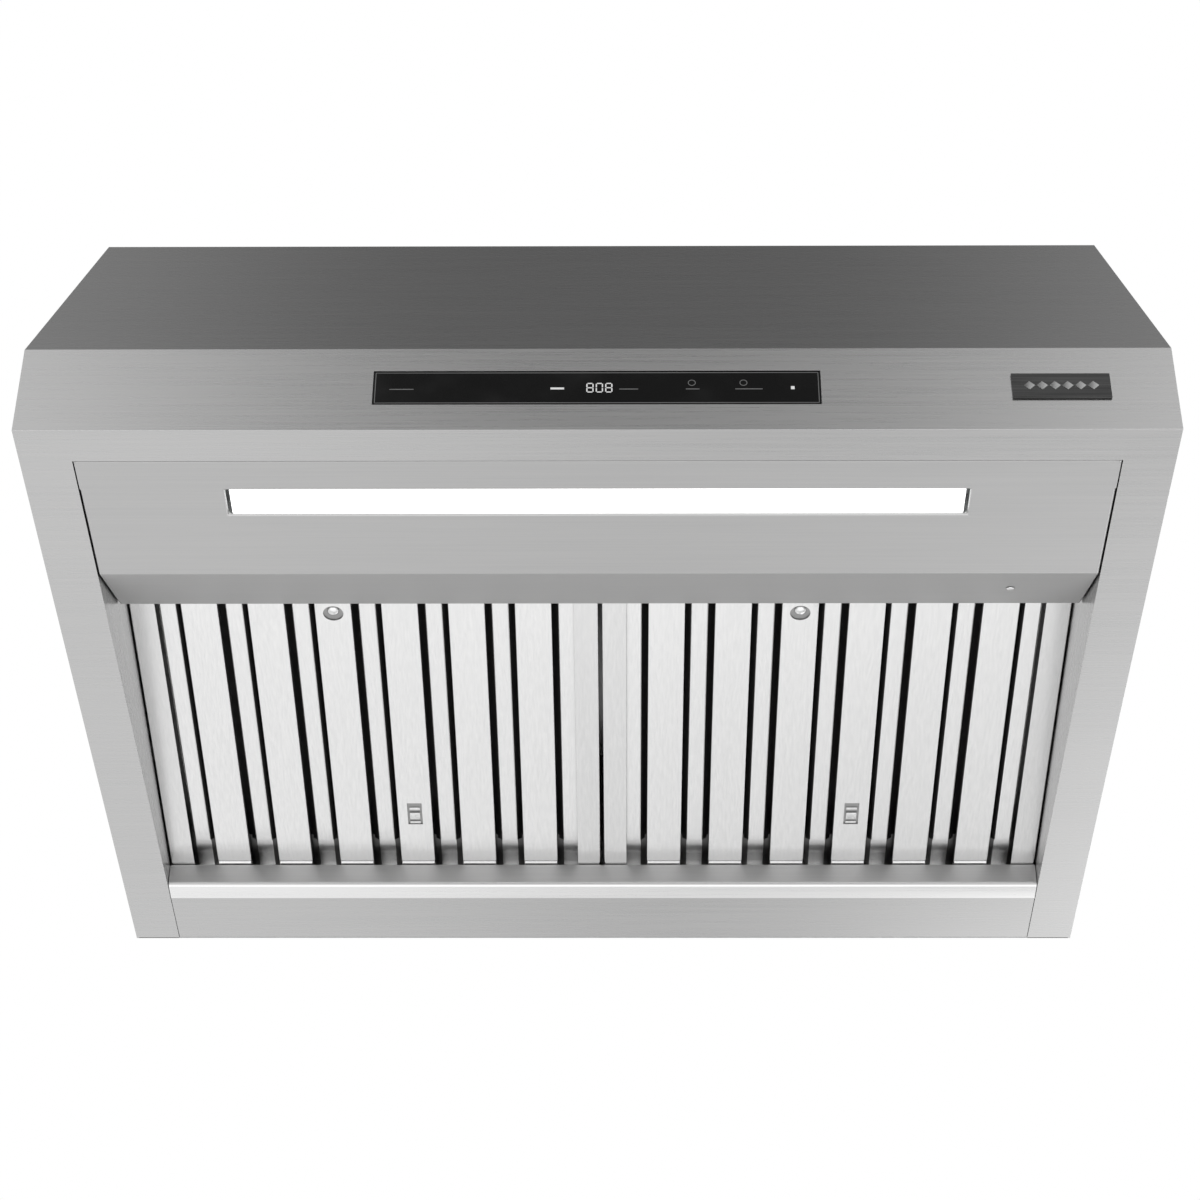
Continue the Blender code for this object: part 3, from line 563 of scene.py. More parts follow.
def makeCanopy():
    c = canopy
    section = [(0, 0), (0, c["bandHeight"]), (c["slopeRun"], height), (depth, height), (depth, 0)]
    bm = slab(section, "X", -halfWidth, halfWidth)
    remove(bm, facesWhere(bm, lambda n, at: n.y > 0.9))
    topEdge = c["slopeRun"] + c["topReturn"]
    scoreLines(bm, lambda n, at: n.z > 0.9, 1, [topEdge])
    remove(bm, facesWhere(bm, lambda n, at: n.z > 0.9 and at.y > topEdge))
    scoreLines(bm, facesDown, 0, (-innerHalf, innerHalf))
    scoreLines(bm, facesDown, 1, [c["frontFlange"]])

    def opening(n, at):
        return facesDown(n, at) and abs(at.x) < innerHalf and at.y > c["frontFlange"]

    remove(bm, facesWhere(bm, opening))
    window = [(glassLow.x - gap, glassHigh.x + gap), (glassLow.z - gap, glassHigh.z + gap)]
    cutWindow(bm, lambda n, at: n.y < -0.9, window, (0, 2))

    def roundOpening(middle, edge):
        return middle.z < hair and abs(middle.x) < innerHalf + hair and hair < middle.y < depth - hair

    def atWall(edge):
        low, high = [v.co for v in edge.verts]
        return min(low.z, high.z) > c["frontFold"] - hair and abs(low.x + high.x) / 2 > innerHalf - hair

    def inFront(edge):
        return all(v.co.z < hair and abs(v.co.y - c["frontFlange"]) < hair for v in edge.verts)

    fold = raiseEdges(bm, openEdges(bm, roundOpening), (0, 0, c["frontFold"]))
    raiseEdges(bm, [e for e in fold if atWall(e)], (0, 0, c["innerWall"] - c["frontFold"]))
    for v in bm.verts:
        if v.co.z > hair and abs(abs(v.co.x) - innerHalf) < hair and v.co.y > depth - 0.001:
            v.co.y = depth - sheet - 2 * gap  # the wall ends short of the back panel
    faceTowards(bm, (0, -1, 0), Vector((halfWidth, 0, c["bandHeight"] / 2)))
    roundBends(bm, c["tightRadius"], segments=2, test=inFront)
    roundBends(bm, c["bendRadius"], least=50)
    covered = ["front_canopy", "side_panel_left", "side_panel_right"]
    shell = addPiece("canopyShell", bm, "shell", "hood", covered)
    thicken(shell, sheet)
    softenEdges(shell, c["edgeSoftness"])


makeCanopy()
print("canopy shell made")


# Light panel: a flat floor, a lip that rises towards the filters and an upstand

lightPanel = {
    "front": canopy["frontFlange"] + 0.0002,
    "frontRadius": 0.0005,
    "flatBack": 0.1525,
    "lipBack": 0.234,
    "lipRise": 0.0366,
    "upstand": 0.020,
    "sideGap": 0.0009,
    "hem": 0.006,
    "slotHem": 0.003,
    "bendRadius": 0.0016,
}
lensLow, lensHigh = [bench.inverted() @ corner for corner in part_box("led_diffuser")]


def makeLightPanel():
    p = lightPanel
    reach = innerHalf - p["sideGap"]
    line = [
        (p["front"], p["hem"]),
        (p["front"], 0.0),
        (p["flatBack"], 0.0),
        (p["lipBack"], p["lipRise"]),
        (p["lipBack"], p["lipRise"] + p["upstand"]),
    ]
    bm = sweptLine(line, "X", -reach, reach, (0, -1, 0))
    slot = [(lensLow.x - gap, lensHigh.x + gap), (lensLow.y - gap, lensHigh.y + gap)]
    cutWindow(bm, facesDown, slot, (0, 1))

    def slotRim(middle, edge):
        inLength = abs(middle.x) < slot[0][1] + hair
        return middle.z < hair and inLength and slot[1][0] - hair < middle.y < slot[1][1] + hair

    def sideRim(middle, edge):
        return abs(middle.x) > reach - hair and abs(edge.verts[0].co.y - edge.verts[1].co.y) > 0.01

    def foremost(edge):
        return all(v.co.y < p["front"] + hair for v in edge.verts)

    def furtherBack(edge):
        return all(v.co.y > p["front"] + 0.001 for v in edge.verts)

    raiseEdges(bm, openEdges(bm, slotRim), (0, 0, p["slotHem"]))
    raiseEdges(bm, openEdges(bm, sideRim), (0, 0, p["hem"]))
    faceTowards(bm, (0, 0, -1), Vector((reach, p["flatBack"] - 0.01, 0)))
    roundBends(bm, p["frontRadius"], segments=2, test=foremost)
    roundBends(bm, p["bendRadius"], least=15, test=furtherBack)
    panel = addPiece("lightPanel", bm, "panel", "hood", ["light_panel"])
    accent(panel, "lip", lambda n, at: n.y > 0.2 and n.z < -0.5)
    thicken(panel, sheet)
    softenEdges(panel, 0.0002)


makeLightPanel()


# Rear trim: a flange whose front edge turns up into the gutter that the filters rest on

rearTrim = {
    "crease": 0.5735,
    "front": 0.555,
    "chamferRise": 0.001,
    "ledgeHeight": 0.0204,
    "ledgeBack": 0.578,
    "ledgeSlope": math.tan(math.radians(7.6)),
    "upstand": 0.031,
    "bendRadius": 0.0012,
}


def makeRearTrim():
    t = rearTrim
    drop = (t["ledgeBack"] - t["front"]) * t["ledgeSlope"]
    line = [
        (depth - sheet - gap, 0.0),
        (t["crease"], 0.0),
        (t["front"] + 0.002, t["chamferRise"]),
        (t["front"], t["chamferRise"] + 0.002),
        (t["front"], t["ledgeHeight"]),
        (t["ledgeBack"], t["ledgeHeight"] - drop),
        (t["ledgeBack"], t["ledgeHeight"] - drop + t["upstand"]),
    ]
    reach = innerHalf - gap
    bm = sweptLine(line, "X", -reach, reach, (0, 0, -1))
    roundBends(bm, t["bendRadius"], least=20)
    trim = addPiece("rearTrim", bm, "trim", "hood", ["rear_trim"])
    chamfer = [shellLow.y + t[key] for key in ("front", "crease")]
    accent(trim, "trimFace", lambda n, at: n.y < -0.9)
    # painted highlight: the chamfer faces take the lighter chamfer finish
    accent(trim, "chamfer", lambda n, at: n.z < -0.9 and chamfer[0] < at.y < chamfer[1])
    thicken(trim, sheet)
    softenEdges(trim, 0.0002)


makeRearTrim()


# Light bar lens, with a rounded body that drops into the slot

lightLens = {"endGap": 0.0022, "edgeRadius": 0.0012}


def makeLens():
    short = Vector((lightLens["endGap"], 0, 0))
    bm = block(lensLow + short, lensHigh - short)
    roundBends(bm, lightLens["edgeRadius"])
    lens = addPiece("lightLens", bm, "lens", "hood", ["led_diffuser"])
    lens.modifiers.new("shading", "WEIGHTED_NORMAL")


makeLens()
print("underside sheets made")


# Control strip: a glass bar with a fine rim and generic lit marks

controlStrip = {
    "rimInset": 0.0012,
    "rimWidth": 0.0005,
    "markDepth": 0.00012,
    "digitHeight": 0.0075,
    "digitWidth": 0.0040,
    "digitPlaces": (-0.0045, 0.0017, 0.0079),
    "stroke": 0.0008,
    # bright bars are x, z, width and height, dim ones x and width
    "brightBars": [(-0.026, -0.0006, 0.0090, 0.0016), (0.1288, -0.0002, 0.0024, 0.0026)],
    "dimBars": [(-0.1285, 0.016), (0.021, 0.0125), (0.100, 0.018), (0.063, 0.009)],
    "rings": (0.0625, 0.0965),
}


def makeGlass():
    bm = block(glassLow, glassHigh)
    roundBends(bm, 0.0004, segments=2)
    glass = addPiece("controlGlass", bm, "glass", "hood", ["control_glass"])
    glass.modifiers.new("shading", "WEIGHTED_NORMAL")


def markBlock(bm, x, z, width, tall):
    face = glassLow.y
    low = (x - width / 2, face - controlStrip["markDepth"], z - tall / 2)
    high = (x + width / 2, face - proud, z + tall / 2)
    joined(bm, block(low, high))


def markRing(bm, x, z, radius, stroke):
    deep = controlStrip["markDepth"]
    ring = [(radius - stroke, 0.0), (radius, 0.0), (radius, deep), (radius - stroke, deep)]
    joined(bm, turned(ring, 20, "Y"), Matrix.Translation((x, glassLow.y - deep - proud, z)))


def digit(bm, x, z, strokes):
    # strokes name the lit bars of a seven-bar digit: top, upper and lower sides, middle and bottom
    s = controlStrip
    tall, wide, stroke = s["digitHeight"], s["digitWidth"], s["stroke"]
    level = {"t": tall / 2, "m": 0, "b": -tall / 2}
    upright = {"ul": (-1, 1), "ur": (1, 1), "ll": (-1, -1), "lr": (1, -1)}
    for name in strokes:
        if name in level:
            markBlock(bm, x, z + level[name], wide - stroke, stroke)
        else:
            side, half = upright[name]
            markBlock(bm, x + side * wide / 2, z + half * tall / 4, stroke, tall / 2 - stroke)


def makeMarks():
    s = controlStrip
    middle = (glassLow.z + glassHigh.z) / 2
    bright = bmesh.new()
    dim = bmesh.new()
    zero = ("t", "ul", "ur", "ll", "lr", "b")
    eight = zero + ("m",)
    for x, strokes in zip(s["digitPlaces"], (eight, zero, eight)):
        digit(bright, x, middle, strokes)
    for x, z, width, tall in s["brightBars"]:
        markBlock(bright, x, middle + z, width, tall)
    for x, width in s["dimBars"]:
        markBlock(dim, x, middle - 0.0012, width, 0.0007)
    for x in s["rings"]:
        markRing(dim, x, middle + 0.0042, 0.0026, 0.0005)
    for x in (glassLow.x + s["rimInset"], glassHigh.x - s["rimInset"]):
        markBlock(dim, x, middle, s["rimWidth"], glassHigh.z - glassLow.z - 2 * s["rimInset"])
    for z in (glassLow.z + s["rimInset"], glassHigh.z - s["rimInset"]):
        markBlock(dim, 0.0, z, glassHigh.x - glassLow.x - 2 * s["rimInset"], s["rimWidth"])
    addPiece("brightMarks", bright, "brightMark", "hood")
    addPiece("dimMarks", dim, "dimMark", "hood")


makeGlass()
makeMarks()


# Badge: a dark plate with a row of raised lozenges

badge = {"relief": 0.00025, "lozenges": 6, "pitch": 0.0084, "lozengeSize": (0.0037, 0.0036)}
badgeLow, badgeHigh = [bench.inverted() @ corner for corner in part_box("badge_plate")]


def makeBadge():
    b = badge
    bm = block(badgeLow, badgeHigh)
    roundBends(bm, 0.0004, segments=2)
    plate = addPiece("badgePlate", bm, "badge", "hood", ["badge_plate"])
    plate.modifiers.new("shading", "WEIGHTED_NORMAL")
    relief = bmesh.new()
    face = badgeLow.y
    centre = (badgeLow + badgeHigh) / 2
    wide, tall = b["lozengeSize"]
    for step in centredRow(b["lozenges"], b["pitch"]):
        x = centre.x + step
        section = [(x - wide, centre.z), (x, centre.z - tall), (x + wide, centre.z), (x, centre.z + tall)]
        joined(relief, slab(section, "Y", face - b["relief"], face - proud))
    bmesh.ops.recalc_face_normals(relief, faces=relief.faces)
    made = addPiece("badgeRelief", relief, "badgeRelief", "hood")
    made.modifiers.new("shading", "WEIGHTED_NORMAL")


makeBadge()
print("control strip and badge made")


# Baffle filters, each in its own frame: origin on the hinge, Y backwards along the filter, Z out of its top

baffle = {
    "splitHalf": 0.170,
    "wallHalf": 0.1734,
    "front": -0.3117,
    "rear": 0.0172,
    "thickness": 0.014,
    "gauge": 0.0008,
    "pitch": 0.049,
    "nearCount": 6,
    "farCount": 7,
    "nearWidth": 0.027,
    "nearFloor": 0.0013,
    "nearTop": 0.0062,
    "nearLip": 0.0016,
    "farWidth": 0.0115,
    "farSpread": 0.0245,
    "farFloor": 0.0074,
    "farTop": 0.0117,
    "stripLengths": (0.020, 0.040),
    "stripOverlap": 0.004,
    "stripBottom": 0.0100,
    "litStrip": 0.0062,
    "bead": [(-0.0014, 0.0), (-0.0002, 0.0011), (0.0022, 0.0011), (0.0034, 0.0)],
    "nearStrip": 0.0088,
    "splitRail": 0.0178,
    "wallRail": 0.0185,
    "endRail": 0.0108,
    "foldRadius": 0.0007,
}
latch = {
    "offset": baffle["pitch"] / 2,
    "frontY": -0.2825,
    "rearY": -0.059,
    "slotRadius": 0.0075,
    "slotHalf": (0.00575, 0.0125),
    "tabRadius": 0.0044,
    "tabHalf": (0.00425, 0.00375),
    "travel": 0.005,
    "tabBottom": 0.0006,
    "floor": 0.0025,
    "roof": 0.0060,
    "sliderHalf": (0.009, 0.015),
    "boltWidth": 0.005,
    "boltReach": 0.004,
    "boltPlay": 0.0003,
    "bars": ((-0.0094, -0.0064), (0.0068, 0.0092)),
}


def filterMatrix(side):
    hinge = Vector(joints[f"filter_{side}_drop"]["pos_m"])
    slide = joints[f"latch_{side}_front_slide"]["axis"]
    return Matrix.Translation(hinge) @ Matrix.Rotation(math.atan2(slide[2], slide[1]), 4, "X")


def channel(centre, floorWidth, topWidth, floor, top, lip, low, high):
    # a folded trough: lips, walls and a floor, seen from below
    b = baffle
    line = [(-topWidth / 2, top), (-floorWidth / 2, floor), (floorWidth / 2, floor), (topWidth / 2, top)]
    if lip:
        line = [(-topWidth / 2 + lip, top)] + line + [(topWidth / 2 - lip, top)]
    bm = sweptLine([(centre + x, z) for x, z in line], "Y", low, high, (0, 0, -1))
    faceTowards(bm, (0, 0, -1), Vector((centre, (low + high) / 2, floor)))
    roundBends(bm, b["foldRadius"], segments=3)
    return bm


def onNearFloor(n, at):
    return facesDown(n, at) and abs(at.z - baffle["nearFloor"]) < 2 * hair


def pressBead(bm):
    # a bead pressed across a near baffle's floor just ahead of the trim: (place, drop) along Y
    scoreLines(bm, onNearFloor, 1, [place for place, drop in baffle["bead"]])
    for place, drop in baffle["bead"]:
        for v in bm.verts:
            if abs(v.co.y - place) < hair / 10 and v.co.z < baffle["nearFloor"] + hair:
                v.co.z -= drop


def squareSlot(bm, x, y):
    spans = [(at - half, at + half) for at, half in zip((x, y), latch["slotHalf"])]
    cutWindow(bm, onNearFloor, spans, (0, 1))


def roundSlot(bm, x, y):
    radius = latch["slotRadius"]

    def around(at, margin=0.0):
        return max(abs(at.x - x), abs(at.y - y)) < radius + margin

    for axis, middle in enumerate((x, y)):
        scoreLines(bm, onNearFloor, axis, (middle - radius, middle + radius))
    found = facesWhere(bm, lambda n, at: onNearFloor(n, at) and around(at))
    corners = [v for face in found for v in face.verts]
    remove(bm, found)
    corners = [v for v in set(corners) if v.is_valid]
    edges = [e for e in bm.edges if e.is_boundary and e.verts[0] in corners and e.verts[1] in corners]
    bmesh.ops.subdivide_edges(bm, edges=edges, cuts=5)
    for v in [v for v in bm.verts if v.is_boundary and around(v.co, hair)]:
        away = Vector((v.co.x - x, v.co.y - y, 0))
        v.co.x, v.co.y = x + away.normalized().x * radius, y + away.normalized().y * radius


def latchPlaces():
    # (end, x, y, direction of the bolt) in the filter's frame
    return (("front", -latch["offset"], latch["frontY"], -1), ("rear", latch["offset"], latch["rearY"], 1))


def makeFilter(side):
    b = baffle
    body = f"filter_{side}"
    matrix = filterMatrix(side)
    reach = b["splitHalf"] - 0.0016
    front = b["front"] + 0.0014
    rear = b["rear"] - 0.0014

    near = bmesh.new()
    shape = [b[key] for key in ("nearWidth", "nearWidth", "nearFloor", "nearTop", "nearLip")]
    for x in centredRow(b["nearCount"], b["pitch"]):
        bm = channel(x, *shape, front + 0.0005, rear - 0.0005)
        for end, slotX, slotY, direction in latchPlaces():
            if abs(slotX - x) < 0.001:
                (squareSlot if end == "rear" else roundSlot)(bm, slotX, slotY)
        pressBead(bm)
        joined(near, bm)
    for low, high in ((front, front + b["nearStrip"]), (rear - b["nearStrip"], rear)):
        strip = [(-reach, b["nearFloor"] - hair), (reach, b["nearFloor"] - hair)]
        joined(near, sweptLine(strip, "Y", low, high, (0, 0, -1)))
    covered = [f"{body}_near_baffles"]
    piece = addPiece(f"{body}.nearBaffles", near, "baffle", body, covered, matrix)
    # painted shade: the near baffles' walls take the dark wall finish in place of the shade between the
    # baffles
    accent(piece, "baffleWall", lambda n, at: abs(n.x) > 0.3)
    thicken(piece, b["gauge"])
    softenEdges(piece, 0.00012, segments=1)

    far = bmesh.new()
    low, high = [front + b["stripLengths"][0], rear - b["stripLengths"][1]]
    shape = [b[key] for key in ("farWidth", "farSpread", "farFloor", "farTop")]
    middles = centredRow(b["farCount"], b["pitch"])
    for x in middles:
        joined(far, channel(x, *shape, 0.0, low - b["stripOverlap"], high + b["stripOverlap"]))
    places = [x + turn * b["litStrip"] for x in middles for turn in (-1, 1)]
    strip = [(x, b["stripBottom"]) for x in [-reach] + places + [reach]]
    for start, end in ((front, low), (high, rear)):
        joined(far, sweptLine(strip, "Y", start, end, (0, 0, -1)))
    covered = [f"{body}_far_baffles"]
    piece = addPiece(f"{body}.farBaffles", far, "baffle", body, covered, matrix)

    # painted shade: far-baffle faces outside the lit strip take the dark wall finish in place of the shade
    # seen through the gaps
    def shaded(n, at):
        x = at.x - matrix.translation.x
        return abs(x - round(x / b["pitch"]) * b["pitch"]) > b["litStrip"]

    accent(piece, "baffleWall", shaded)
    thicken(piece, b["gauge"])
    softenEdges(piece, 0.00012, segments=1)

    makeFrame(side, body, matrix)
    for end, x, y, direction in latchPlaces():
        makeLatch(f"latch_{side}_{end}", x, y, direction, matrix)


def makeFrame(side, body, matrix):
    # a rim with a C-shaped section, mitred at its corners and wider beside the hood's wall
    b = baffle
    rails = [(b["wallHalf"], b["wallRail"]), (b["splitHalf"], b["splitRail"])]
    if side == "right":
        rails.reverse()
    bm = bmesh.new()
    rings = []
    for reach, z in ((1.0, 0.0), (0.0, 0.0), (0.0, b["thickness"]), (1.0, b["thickness"])):
        left, right = [half - reach * rail for half, rail in rails]
        dy = reach * b["endRail"]
        ahead, behind = b["front"] + dy, b["rear"] - dy
        corners = [(-left, ahead), (right, ahead), (right, behind), (-left, behind)]
        rings.append([bm.verts.new((x, y, z)) for x, y in corners])
    for inner, outer in zip(rings, rings[1:]):
        for i in range(4):
            bm.faces.new((inner[i - 1], inner[i], outer[i], outer[i - 1]))
    faceTowards(bm, (0, 0, -1), Vector((0, b["front"] + b["endRail"] / 2, 0)))
    roundBends(bm, 0.0012)
    piece = addPiece(f"{body}.frame", bm, "frame", body, [f"{body}_frame"], matrix)
    thicken(piece, 0.0010)
    softenEdges(piece, 0.0002)


def makeLatch(node, x, y, direction, matrix):
    # a slider with a thumb tab below it, round in front and square at the rear, and a bolt at its end
    k = latch
    halfX, halfY = k["sliderHalf"]
    bm = block((-halfX, -halfY, k["floor"]), (halfX, halfY, k["roof"]))
    roundBends(bm, 0.0008, segments=2)
    shift = direction * k["travel"] / 2
    bottom, top, radius = k["tabBottom"], k["floor"] + 0.0002, k["tabRadius"]
    if direction > 0:
        wide, long = k["tabHalf"]
        thumb = block((-wide, -long, bottom), (wide, long, top))
        roundBends(thumb, 0.0007, segments=2)
        for low, high in k["bars"]:
            bar = block((-wide, low, bottom + 0.0008), (wide, high, top))
            roundBends(bar, 0.0004, segments=2)
            joined(bm, bar, Matrix.Translation((0, shift, 0)))
    else:
        lower = [(0.0, bottom), (radius - 0.0012, bottom), (radius, bottom + 0.0008)]
        thumb = turned(lower + [(radius, top), (0.0, top)], 28)
    joined(bm, thumb, Matrix.Translation((0, shift, 0)))
    end = baffle["rear"] if direction > 0 else baffle["front"]
    ends = sorted((direction * (halfY - 0.002), end + direction * k["boltReach"] - y))
    half, play = k["boltWidth"] / 2, k["boltPlay"]
    bolt = block((-half, ends[0], k["floor"] + play), (half, ends[1], k["roof"] - play))
    roundBends(bolt, 0.0006, segments=2)
    joined(bm, bolt)
    name = node.replace("_", ".", 1) + ".slider"
    home = matrix @ Matrix.Translation((x, y, 0))
    piece = addPiece(name, bm, "polished", f"{node}_body", [node], home)
    accent(piece, "latchBody", lambda n, at: n.z < -0.9 and (matrix.inverted() @ at).z > k["floor"] - hair)
    piece.modifiers.new("shading", "WEIGHTED_NORMAL")


for side in ("left", "right"):
    makeFilter(side)
print("filters made")


# Duct collar: a thin tube with a rolled bead, standing in its ring

collar = {
    "radius": 0.1016,
    "wall": 0.0010,
    "height": 0.045,
    "bead": 0.0022,
    "beadHeight": 0.030,
    "y": 0.500,
    "flange": 0.0145,
    "chamfer": 0.0004,
}


def makeCollar():
    c = collar
    inner = c["radius"] - c["wall"]
    shoulder = c["height"] - 0.0005
    tube = [(inner, gap), (inner, shoulder), (inner + 0.0005, c["height"]), (c["radius"], shoulder)]
    low = c["beadHeight"]
    for step in range(7):
        turn = math.pi * step / 6
        radius = c["radius"] - hair - c["bead"] * 0.45 * math.sin(turn)
        tube.append((radius, low + c["bead"] * math.cos(turn)))
    tube += [(c["radius"], 0.012), (c["radius"], gap)]
    home = bench @ Matrix.Translation((0, c["y"], height))
    bm = turned(tube, 72)
    piece = addPiece("ductCollar", bm, "zinc", "hood", ["duct_collar"], home)
    softenEdges(piece, 0.00015, segments=1)
    ringInner = c["radius"] + gap
    ringOuter = c["radius"] + c["flange"]
    roof = gap + sheet
    edge = [(ringOuter - c["chamfer"], roof), (ringOuter, roof - c["chamfer"]), (ringOuter, gap)]
    ring = [(ringInner, gap), (ringInner, roof)] + edge
    bm = turned(ring, 72)
    piece = addPiece("collarFlange", bm, "zinc", "hood", ["collar_flange"], home)
    softenEdges(piece, 0.0002, segments=1)


makeCollar()


# Screws: flat heads with a cross recess on the shell, domed ones on the collar's ring

screw = {
    "radius": 0.0036,
    "recess": 0.0003,
    "flat": 0.0005,
    "dome": 0.0020,
    "core": 0.45,
    "slit": 0.10,
    "edge": 0.012,
    "onCollar": 8,
    "topRows": (0.235, 0.360, 0.485, 0.615),
    "topFront": 0.2265,
    "topColumns": (-0.24, -0.08, 0.08, 0.24),
    "backRows": (0.030, 0.130, 0.230, 0.330),
    "backEnds": (0.012, 0.340),
    "backColumns": (-0.24, 0.0, 0.24),
}


def screwHead(rise):
    # a disc, a rim on it and four wedges inside the rim that leave a cross between them
    r, core, slit, floor = screw["radius"], screw["core"], screw["slit"], rise - screw["recess"]
    bm = turned([(0.0, 0.0), (r, 0.0), (r, floor), (0.0, floor)], 24)
    shoulder = [(r * 0.94, rise * 0.9 + floor * 0.1), (r * 0.84, rise)]
    joined(bm, turned([(r * core, floor), (r, floor)] + shoulder + [(r * core, rise)], 24))
    arc = [(core * math.cos(turn), core * math.sin(turn)) for turn in (0.25, 0.6, 0.97, 1.32)]
    wedge = [(r * a, r * b) for a, b in [(slit, slit)] + arc]
    for quarter in range(4):
        joined(bm, slab(wedge, "Z", floor, rise), Matrix.Rotation(quarter * math.pi / 2, 4, "Z"))
    return bm


def scatterScrews(name, places, rise, matrixOf):
    bm = bmesh.new()
    for place in places:
        joined(bm, screwHead(rise), matrixOf(place))
    piece = addPiece(name, bm, "polished", "hood")
    piece.modifiers.new("shading", "WEIGHTED_NORMAL")


def makeScrews():
    s = screw
    flat = s["flat"]
    ringRadius = collar["radius"] + collar["flange"] * 0.55
    turns = [math.tau * (i + 0.5) / s["onCollar"] for i in range(s["onCollar"])]
    ring = [(ringRadius * math.cos(t), collar["y"] + ringRadius * math.sin(t)) for t in turns]
    onRing = height + gap + sheet
    scatterScrews("collarScrews", ring, s["dome"], lambda p: Matrix.Translation((p[0], p[1], onRing)))
    edge = halfWidth - s["edge"]
    top = [(side * edge, y) for side in (-1, 1) for y in s["topRows"]]
    top += [(x, s["topFront"]) for x in s["topColumns"]]
    onTop = height - flat + hair
    scatterScrews("topScrews", top, flat, lambda p: Matrix.Translation((p[0], p[1], onTop)))
    back = [(side * edge, z) for side in (-1, 1) for z in s["backRows"]]
    back += [(x, z) for z in s["backEnds"] for x in s["backColumns"]]
    turn = Matrix.Rotation(-math.pi / 2, 4, "X")
    onBack = depth - flat + hair
    scatterScrews("backScrews", back, flat, lambda p: Matrix.Translation((p[0], onBack, p[1])) @ turn)


makeScrews()
print("collar and screws made")


# Carried over from the frame: merged copies with softened edges and a finish of their own

def refined(node, finish, body="hood", width=0.0004, segments=2, angle=math.radians(30)):
    bm = bmesh.new()
    bm.from_mesh(nodes[node].data)
    bmesh.ops.remove_doubles(bm, verts=bm.verts, dist=0.000005)
    bmesh.ops.dissolve_limit(
        bm, angle_limit=math.radians(0.6), verts=bm.verts, edges=bm.edges, use_dissolve_boundaries=False
    )
    name = "".join([word.capitalize() if i else word for i, word in enumerate(node.split("_"))])
    piece = addPiece(name, bm, finish, body, [node], Matrix())
    softenEdges(piece, width, segments, angle)
    return piece


carried = {
    "zinc": ["top_panel", "back_panel", "filter_rail", "led_housing", "control_bracket", "blower_wrap",
             "blower_cheek_left", "blower_cheek_right", "motor_bracket", "junction_box", "junction_cover",
             "capacitor_clip"],
    "aluminium": ["inlet_ring_left", "inlet_ring_right", "capacitor"],
    "board": ["control_board", "led_board", "relay_board"],
    "blackPlastic": ["relay_box", "relay_cover", "top_knockout_plug", "wall_knockout_plug"],
    "greyPlastic": ["led_driver", "terminal_block"],
    "motor": ["motor"],
    "polished": ["lip_screw", "damper_pin"],
}
for finish, names in carried.items():
    for node in names:
        refined(node, finish, width=0.0002 if finish == "zinc" else 0.0004)
refined("impeller", "zinc", "wheel", width=0.0002, segments=1)
refined("drive_shaft", "polished", "wheel")
refined("damper_flap_left", "aluminium", "flap_left", width=0.0002)
refined("damper_flap_right", "aluminium", "flap_right", width=0.0002)
print("carried pieces refined")


# Studio: a plain pale floor far below, a soft sky for the reflections, and the camera

studio = {
    "skyStops": [
        (0.0, 1.45), (0.05, 1.32), (0.09, 1.10), (0.125, 0.70), (0.145, 0.60), (0.175, 0.56), (0.225, 0.50),
        (0.50, 0.52), (0.595, 0.46), (0.765, 0.36), (0.83, 0.09), (0.90, 0.12), (0.96, 0.12), (1.0, 0.10),
    ],
    "floorZ": -3.2,
    "floorSize": 80.0,
    "cameraAt": (0.0185, -2.1283, -1.6419),
    "lens": 90.795,
    "yaw": -0.600,
    "pitch": 37.512,
    "roll": 0.310,
    "lights": {  # place, size, energy, seen in reflections
        "keyLight": ((-1.2, -2.6, 1.6), (1.6, 1.6), 60, False),
        "fillLight": ((1.6, -2.2, -2.4), (1.4, 1.4), 40, False),
        "creaseLight": ((0.0, -1.35, 2.4), (1.6, 0.30), 4, True),
    },
    "lightAim": (0, -0.3, -0.2),
}


def makeFloor():
    bm = bmesh.new()
    bmesh.ops.create_grid(bm, x_segments=1, y_segments=1, size=studio["floorSize"] / 2)
    mesh = bpy.data.meshes.new("studioFloor")
    bmesh.ops.translate(bm, verts=bm.verts, vec=(0, 0, studio["floorZ"]))
    bm.to_mesh(mesh)
    bm.free()
    paper = Finish("pale floor")
    mottle = paper.noise((3, 3, 3))
    pale = paper.blend(mottle, grey(0.86), grey(0.90))
    paper.set(baseColor=pale, emissionColor=pale, emissionStrength=0.35, roughness=0.9)
    mesh.materials.append(paper.material)
    floor = bpy.data.objects.new("studioFloor", mesh)
    bpy.context.scene.collection.objects.link(floor)
    floor.visible_glossy = False


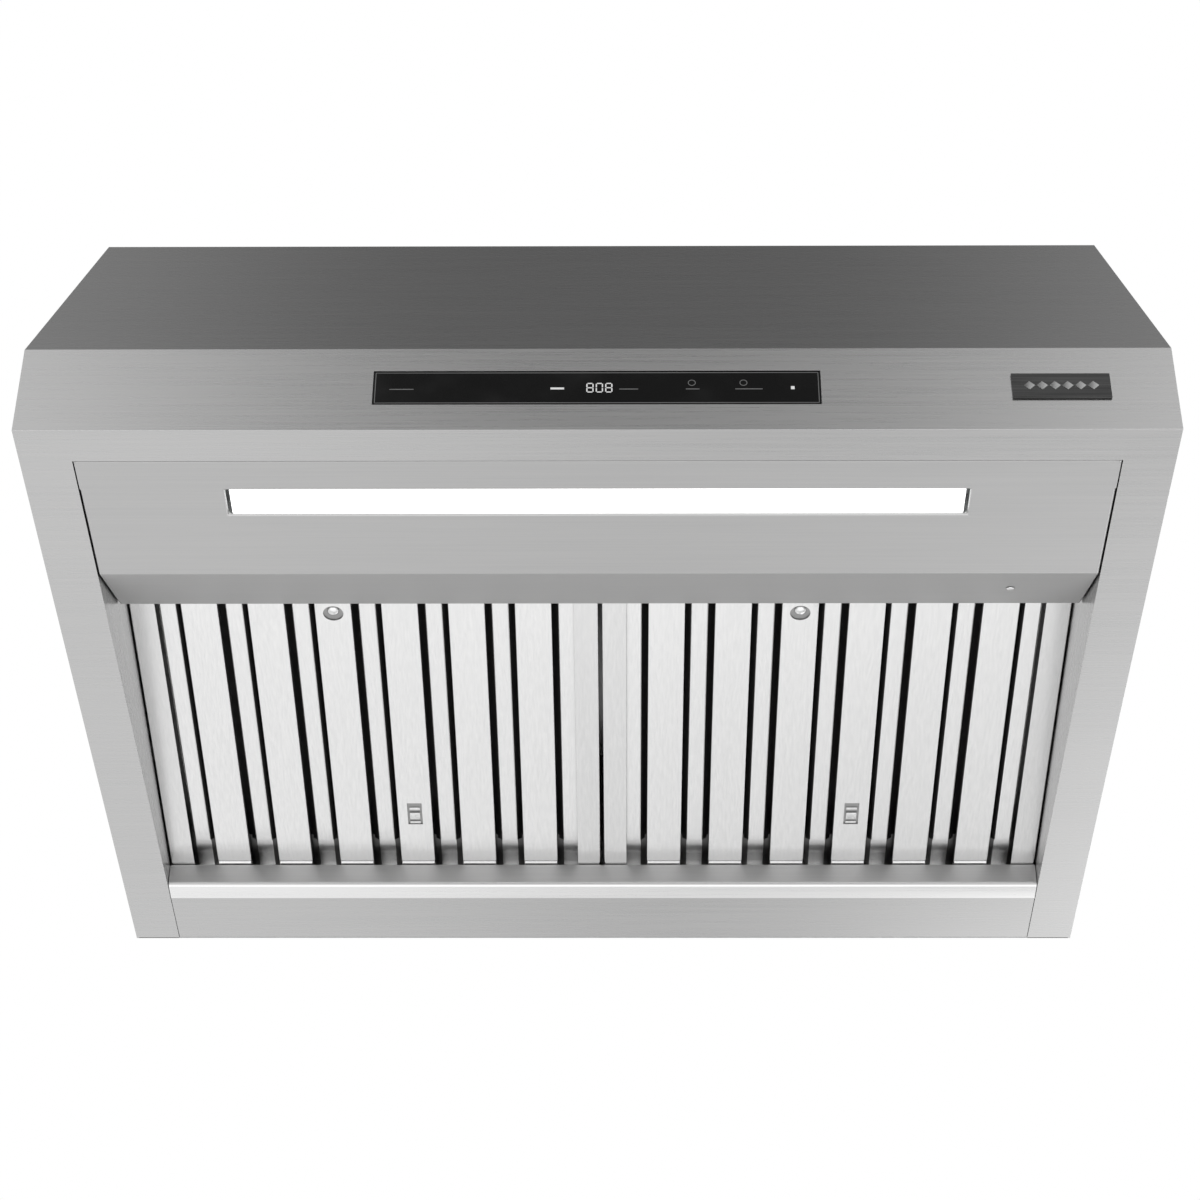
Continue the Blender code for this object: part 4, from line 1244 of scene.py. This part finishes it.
def makeSky():
    world = bpy.data.worlds.new("studio")
    bpy.context.scene.world = world
    world.use_nodes = True
    sky = Finish("studio", world.node_tree)
    direction = sky.node("ShaderNodeTexCoord", output=0)
    x, y, z = [sky.axis(direction, i) for i in range(3)]
    level = sky.node("ShaderNodeValToRGB", {"stops": studio["skyStops"]}, {0: z * 0.5 + 0.5})
    ends = abs(x).ramp(0.05, 0.22)
    ahead = (0 - y).ramp(0.15, 0.75)
    beyond = y.ramp(0.10, 0.40) * z.ramp(-0.74, -0.68)
    left = (0 - x).ramp(-0.06, 0.10) * beyond * 0.48
    right = x.ramp(0.03, 0.14) * z.ramp(-0.64, -0.50) * (0 - z).ramp(0.20, 0.40) * y.ramp(0.10, 0.40) * 1.25
    overhead = ends * 0.19 * z.ramp(0.5, 0.8)
    total = level + ends * ahead * 0.86 + overhead + left * (0 - z).ramp(-0.7, -0.4) + right
    isCamera = sky.node("ShaderNodeLightPath", output=0)
    brightness = total + (1.0 - total) * isCamera
    background = world.node_tree.nodes["Background"]
    sky.plug(background.inputs["Strength"], brightness)
    background.inputs["Color"].default_value = (1, 1, 1, 1)


def makeLight(name, place, size, energy, glossy):
    data = bpy.data.lights.new(name, "AREA")
    data.shape = "RECTANGLE"
    data.size, data.size_y = size
    data.energy = energy
    light = bpy.data.objects.new(name, data)
    light.location = place
    aim = Vector(studio["lightAim"]) - Vector(place)
    light.rotation_euler = aim.to_track_quat("-Z", "Y").to_euler()
    light.visible_glossy = glossy
    bpy.context.scene.collection.objects.link(light)


def makeCamera():
    s = studio
    data = bpy.data.cameras.new("camera")
    data.lens = s["lens"]
    camera = bpy.data.objects.new("camera", data)
    turn = (
        Matrix.Rotation(math.radians(-s["yaw"]), 4, "Z")
        @ Matrix.Rotation(math.radians(90 + s["pitch"]), 4, "X")
        @ Matrix.Rotation(math.radians(s["roll"]), 4, "Z")
    )
    camera.matrix_world = Matrix.Translation(s["cameraAt"]) @ turn
    bpy.context.scene.collection.objects.link(camera)
    bpy.context.scene.camera = camera


makeFloor()
makeSky()
for name, settings in studio["lights"].items():
    makeLight(name, *settings)
makeCamera()
bpy.context.scene.view_settings.view_transform = "Standard"
print("studio made")
